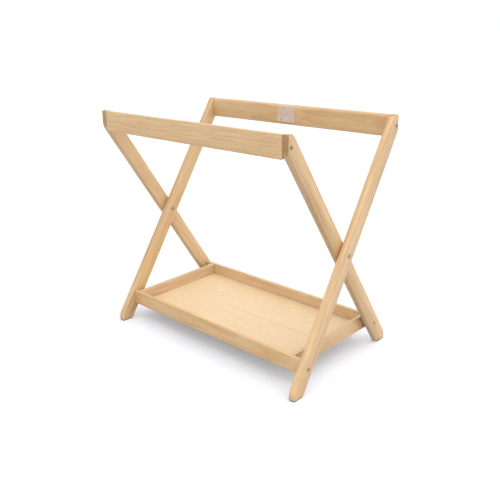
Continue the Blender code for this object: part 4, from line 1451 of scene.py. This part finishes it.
@dataclass(kw_only=True)
class Tray:
    """The low tray: four boards, butted and dowelled, round a thin panel in their grooves."""

    maker: PieceMaker
    finishes: Finishes
    looks: dict[str, BoardLook]
    floor: float = 50.5 * MM
    board_height: float = 45.0 * MM
    board_thickness: float = 12.0 * MM
    top_round: float = 2.0 * MM
    edge_round: float = 1.0 * MM
    end_round: float = 0.8 * MM
    bolt_y: float = 180.257 * MM
    long_end: float = 378.2 * MM
    short_end: float = 355.2 * MM
    side_middle: float = 339.5 * MM
    groove_depth: float = 5.0 * MM
    groove_low: float = 3.2 * MM
    groove_high: float = 8.3 * MM
    panel_thickness: float = 4.0 * MM
    panel_tuck: float = 4.7 * MM
    bore: float = 3.3 * MM
    bolt_grip: float = 28.7 * MM
    pin_reach: float = 8.5 * MM
    dowel_bore: float = 3.3 * MM
    dowel_in_long: float = 8.7 * MM
    dowel_in_side: float = 22.7 * MM
    dowel_levels: Point2 = (13.5 * MM, 31.3 * MM)
    end_browns: Point2 = (0.25, 0.25)

    def build(self) -> None:
        """Places the tray's pieces."""
        half = self.board_thickness / 2
        side = self._side_board()
        along_x = Matrix(((1, 0, 0), (0, 0, -1), (0, 1, 0))).to_4x4()
        along_y = Matrix(((0, 0, 1), (1, 0, 0), (0, 1, 0))).to_4x4()
        front_place = Matrix.Translation((0, half - self.bolt_y, self.floor)) @ along_x
        side_place = Matrix.Translation((-half - self.side_middle, 0, self.floor)) @ along_y
        for name, mesh, place in (
            ("front", self._long_board(has_notches=False), front_place),
            ("rear", self._long_board(has_notches=True), HALF_TURN @ front_place),
            ("left", side, side_place),
            ("right", side, HALF_TURN @ side_place),
        ):
            told = (self.looks[name], STRAIGHT, self.end_browns)
            dress = self.finishes.rubberwood.dress(f"rubberwood_tray_{name}", *told)
            self.maker.add(f"tray_{name}_board", mesh, place, dress)
        x, y = (middle - half + self.panel_tuck for middle in (self.side_middle, self.bolt_y))
        panel = slab((-x, -y), (x, y), self.panel_thickness, (FIT_GAP, FIT_GAP), self.end_round)
        place = Matrix.Translation((0, 0, self.floor + self.groove_low + FIT_GAP))
        self.maker.add("tray_panel", panel, place, self.finishes.plywood)
        for end in ("front", "rear"):
            for hand in Hand:
                for level in ("lower", "upper"):
                    keep_node(f"tray_{end}_{hand}_{level}_dowel", self.finishes.dowel)

    def _long_board(self, has_notches: bool) -> Mesh:
        """Makes the front or the rear board, as the front one lies: the inside is its low face.

        Args:
            has_notches: Whether its ends drop over the rest pins instead of turning on bolts.

        Returns:
            The mesh.
        """
        edge, top = (self.edge_round,) * 2, (self.top_round,) * 2
        low, high = (-self.short_end, 0.0), (self.long_end, self.board_height)
        board = slab(low, high, self.board_thickness, [edge, edge, top, edge], self.edge_round)
        middle, half = self.board_height / 2, self.board_thickness / 2
        groove_x = self.side_middle - half + self.groove_depth
        groove = (groove_x, self.groove_high, self.groove_depth)
        cutters = [block((-groove_x, self.groove_low, -CUT_PAST), groove)]
        for end, inwards in ((low[0], 1.0), (high[0], -1.0)):
            if has_notches:
                near, far = sorted((end - inwards * CUT_PAST, end + inwards * self.pin_reach))
                notch = (far, middle + self.bore, half + self.bore)
                cutters.append(block((near, -CUT_PAST, -CUT_PAST), notch))
            else:
                cutters.append(bore((end, middle, half), self.bolt_grip, self.bore, inwards))
        for x in (-self.side_middle, self.side_middle):
            for level in self.dowel_levels:
                cutters.append(bore((x, level, 0.0), self.dowel_in_long, self.dowel_bore, upright=True))
        return worked(board, cutters)

    def _side_board(self) -> Mesh:
        """Makes a short board, as the left one lies: the inside is its high face.

        Returns:
            The mesh.
        """
        thick = self.board_thickness
        reach = self.bolt_y - thick / 2 - FIT_GAP
        edge, top, end = (self.edge_round,) * 2, (self.top_round,) * 2, (self.end_round,) * 2
        low, high = (-reach, 0.0), (reach, self.board_height)
        board = slab(low, high, thick, [edge, end, top, end], self.end_round)
        past = reach + CUT_PAST
        low = (-past, self.groove_low, thick - self.groove_depth)
        cutters = [block(low, (past, self.groove_high, thick + CUT_PAST))]
        for x, inwards in ((-reach, 1.0), (reach, -1.0)):
            for level in self.dowel_levels:
                cutters.append(bore((x, level, thick / 2), self.dowel_in_side, self.dowel_bore, inwards))
        return worked(board, cutters)


@dataclass(kw_only=True)
class TrayFixings(Assembly):
    """The bolts that the tray turns on, in the rear frame, and the pins it rests on, in the front frame."""

    rear: PieceMaker
    front: PieceMaker
    bolt: HeadedBolt = HeadedBolt(5.2 * MM, 3.4 * MM, 44.6 * MM)
    pin: HeadedBolt = HeadedBolt(5.2 * MM, 3.4 * MM, 24.6 * MM)
    socket_turns: Point2 = (0.5, 1.5)

    def build(self) -> None:
        """Places the four fixings."""
        inner_face_x = self.inner_leg_x + self.leg.thickness
        heads_x = (self.recess_gap - self.outer_face_x, inner_face_x - self.recess_gap)
        y, z = self.leg.tray_bolt
        for kind, mesh, maker, hands in (
            ("tray_hinge_bolt", self.bolt.mesh(), self.rear, (Hand.RIGHT, Hand.LEFT)),
            ("tray_rest_pin", self.pin.mesh(), self.front, (Hand.LEFT, Hand.RIGHT)),
        ):
            for index, (hand, x) in enumerate(zip(hands, heads_x)):
                place = Matrix.Translation((x, y, PIVOT_HEIGHT + z)) @ self.bolt_turn(index)
                maker.add(f"{hand}_{kind}", mesh, place, self.finishes.steel)


@dataclass
class Studio:
    """A white sweep under broad soft light, seen from where the photograph was taken."""

    focal_px: float = 656.715
    image_px: float = 500.0
    sensor_mm: float = 36.0
    horizon_shift_px: float = -53.307
    azimuth: float = math.radians(43.243)
    elevation: float = math.radians(14.952)
    roll: float = math.radians(-0.930)
    camera_at: Point3 = (1.38433, -1.44738, 0.98799)
    floor_size: float = 60.0
    floor_seen: str = "#DDDEE2"
    floor_to_wood: str = "#B0B0B0"
    floor_glow: float = 0.22
    glow_tint: str = "#EEF3FB"
    lamp_strength: float = 0.4
    lamp_spread: float = math.radians(60)
    lamp_tilt: float = math.radians(5)
    dome: float = 1.45
    dome_left: float = 0.2

    def build(self) -> None:
        """Makes the camera, the floor, the light and the world."""
        self._add_camera()
        self._add_floor()
        self._add_lamp()
        self._set_world()
        bpy.context.scene.view_settings.view_transform = "Standard"

    def _add_camera(self) -> None:
        """Makes the camera at the photograph's place."""
        level = math.cos(self.elevation)
        ahead = (-math.sin(self.azimuth) * level, math.cos(self.azimuth) * level, -math.sin(self.elevation))
        ahead = Vector(ahead)
        level_right = ahead.cross(Vector((0, 0, 1))).normalized()
        level_up = level_right.cross(ahead)
        right = math.cos(self.roll) * level_right + math.sin(self.roll) * level_up
        up = -math.sin(self.roll) * level_right + math.cos(self.roll) * level_up
        lens = bpy.data.cameras.new("camera")
        lens.sensor_width = self.sensor_mm
        lens.lens = self.focal_px * self.sensor_mm / self.image_px
        lens.shift_y = self.horizon_shift_px / self.image_px
        turn = Matrix((right, up, -ahead)).transposed().to_4x4()
        place = Matrix.Translation(self.camera_at) @ turn
        bpy.context.scene.camera = placed("camera", lens, place)

    def _seen(self, add: Adder) -> Socket:
        """Finds whether a ray comes from the camera, or by way of metal or clear plastic.

        Args:
            add: Adds a node to the floor's material or to the world.

        Returns:
            1 for such a ray and 0 for the others.
        """
        path = add("LightPath").node.outputs
        shiny = add("Math", (path["Is Camera Ray"], path["Is Glossy Ray"]), operation="MAXIMUM")
        return add("Math", (shiny, path["Is Transmission Ray"]), operation="MAXIMUM")

    def _add_floor(self) -> None:
        """Makes the floor: white with the shadow to the eye, and duller for the light it throws back."""
        half = self.floor_size / 2
        mesh = bpy.data.meshes.new("floor")
        corners = [(-half, -half, 0.0), (half, -half, 0.0), (half, half, 0.0), (-half, half, 0.0)]
        mesh.from_pydata(corners, [], [(0, 1, 2, 3)])
        floor = placed("floor", mesh)
        material = bpy.data.materials.new("white_sweep")
        material.use_nodes = True
        nodes = material.node_tree.nodes
        nodes.remove(nodes["Principled BSDF"])
        add = partial(add_node, material.node_tree)
        seen = self._seen(add)
        colours = {0: seen, 6: self.floor_to_wood, 7: self.floor_seen}
        paper = add("BsdfDiffuse", {"Color": add("Mix", colours, 2, data_type="RGBA")})
        level = add("Math", (seen, self.floor_glow), operation="MULTIPLY")
        glow = add("Emission", (self.glow_tint, level))
        feed(nodes["Material Output"], {"Surface": add("AddShader", (paper, glow))})
        mesh.materials.append(material)

    def _add_lamp(self) -> None:
        """Hangs one broad lamp overhead, leaning a little to the right."""
        lamp = bpy.data.lights.new("overhead_light", "SUN")
        lamp.energy = self.lamp_strength
        lamp.angle = self.lamp_spread
        towards = Vector((math.sin(self.lamp_tilt), 0.0, math.cos(self.lamp_tilt)))
        placed("overhead_light", lamp, towards.to_track_quat("Z", "Y").to_matrix().to_4x4())

    def _set_world(self) -> None:
        """Makes the dome of soft light, which fades to the left and which the eye sees as plain white."""
        world = bpy.data.worlds.new("studio")
        bpy.context.scene.world = world
        world.use_nodes = True
        nodes = world.node_tree.nodes
        nodes.remove(nodes["Background"])
        add = partial(add_node, world.node_tree)
        rightwards = add("SeparateXYZ", (add("TexCoord", out="Generated"),))
        level = add("MapRange", (rightwards, -1.0, 0.0, self.dome * self.dome_left, self.dome))
        fill, white = (add("Background", ("#FFFFFF", strength)) for strength in (level, 1.0))
        feed(nodes["World Output"], {"Surface": add("MixShader", (self._seen(add), fill, white))})


def main() -> None:
    """Builds the stand and its studio."""
    logging.basicConfig(level=logging.INFO, format="%(name)s: %(message)s")
    finishes = Finishes()
    rear_maker = PieceMaker(Body.REAR_FRAME, HALF_TURN)
    front_maker = PieceMaker(Body.FRONT_FRAME)
    meshes = FrameMeshes()
    front_looks = {
        "left_leg": BoardLook((46.0, -70.0), 120.0, 0.975, 0.98, 1.0, 0.04),
        "right_leg": BoardLook((-30.0, 58.0), 1310.0, 0.96, 0.95, 1.0, 0.11),
        "rail": BoardLook((20.0, 95.0), 2750.0, 0.985, 1.03, 1.03),
    }
    rear_looks = {
        "right_leg": BoardLook((-55.0, 64.0), 4020.0, 0.96, 1.05, 1.0, 0.06),
        "left_leg": BoardLook((38.0, 80.0), 5360.0, 0.99, 0.85, 1.0, 0.03),
        "rail": BoardLook((-24.0, -62.0), 6880.0, 0.915, 1.06, 1.05),
    }
    tray_looks = {
        "front": BoardLook((36.0, -48.0), 8120.0, 1.0, 1.0, 1.06),
        "rear": BoardLook((60.0, 50.0), 9240.0, 0.95, 1.0, 0.9),
        "left": BoardLook((-40.0, 66.0), 10350.0, 0.95, 1.0, 0.88),
        "right": BoardLook((28.0, -74.0), 11420.0, 0.99, 1.0, 1.0),
    }
    for name, maker, looks, hands in (
        ("front", front_maker, front_looks, (Hand.LEFT, Hand.RIGHT)),
        ("rear", rear_maker, rear_looks, (Hand.RIGHT, Hand.LEFT)),
    ):
        RailFrame(name=name, maker=maker, finishes=finishes, looks=looks, hands=hands).build(meshes)
    Pivots(maker=PieceMaker(Body.REAR_FRAME), finishes=finishes).build()
    Tray(maker=PieceMaker(Body.TRAY), finishes=finishes, looks=tray_looks).build()
    TrayFixings(rear=rear_maker, front=front_maker, finishes=finishes).build()
    Studio().build()


if __name__ == "__main__":
    main()
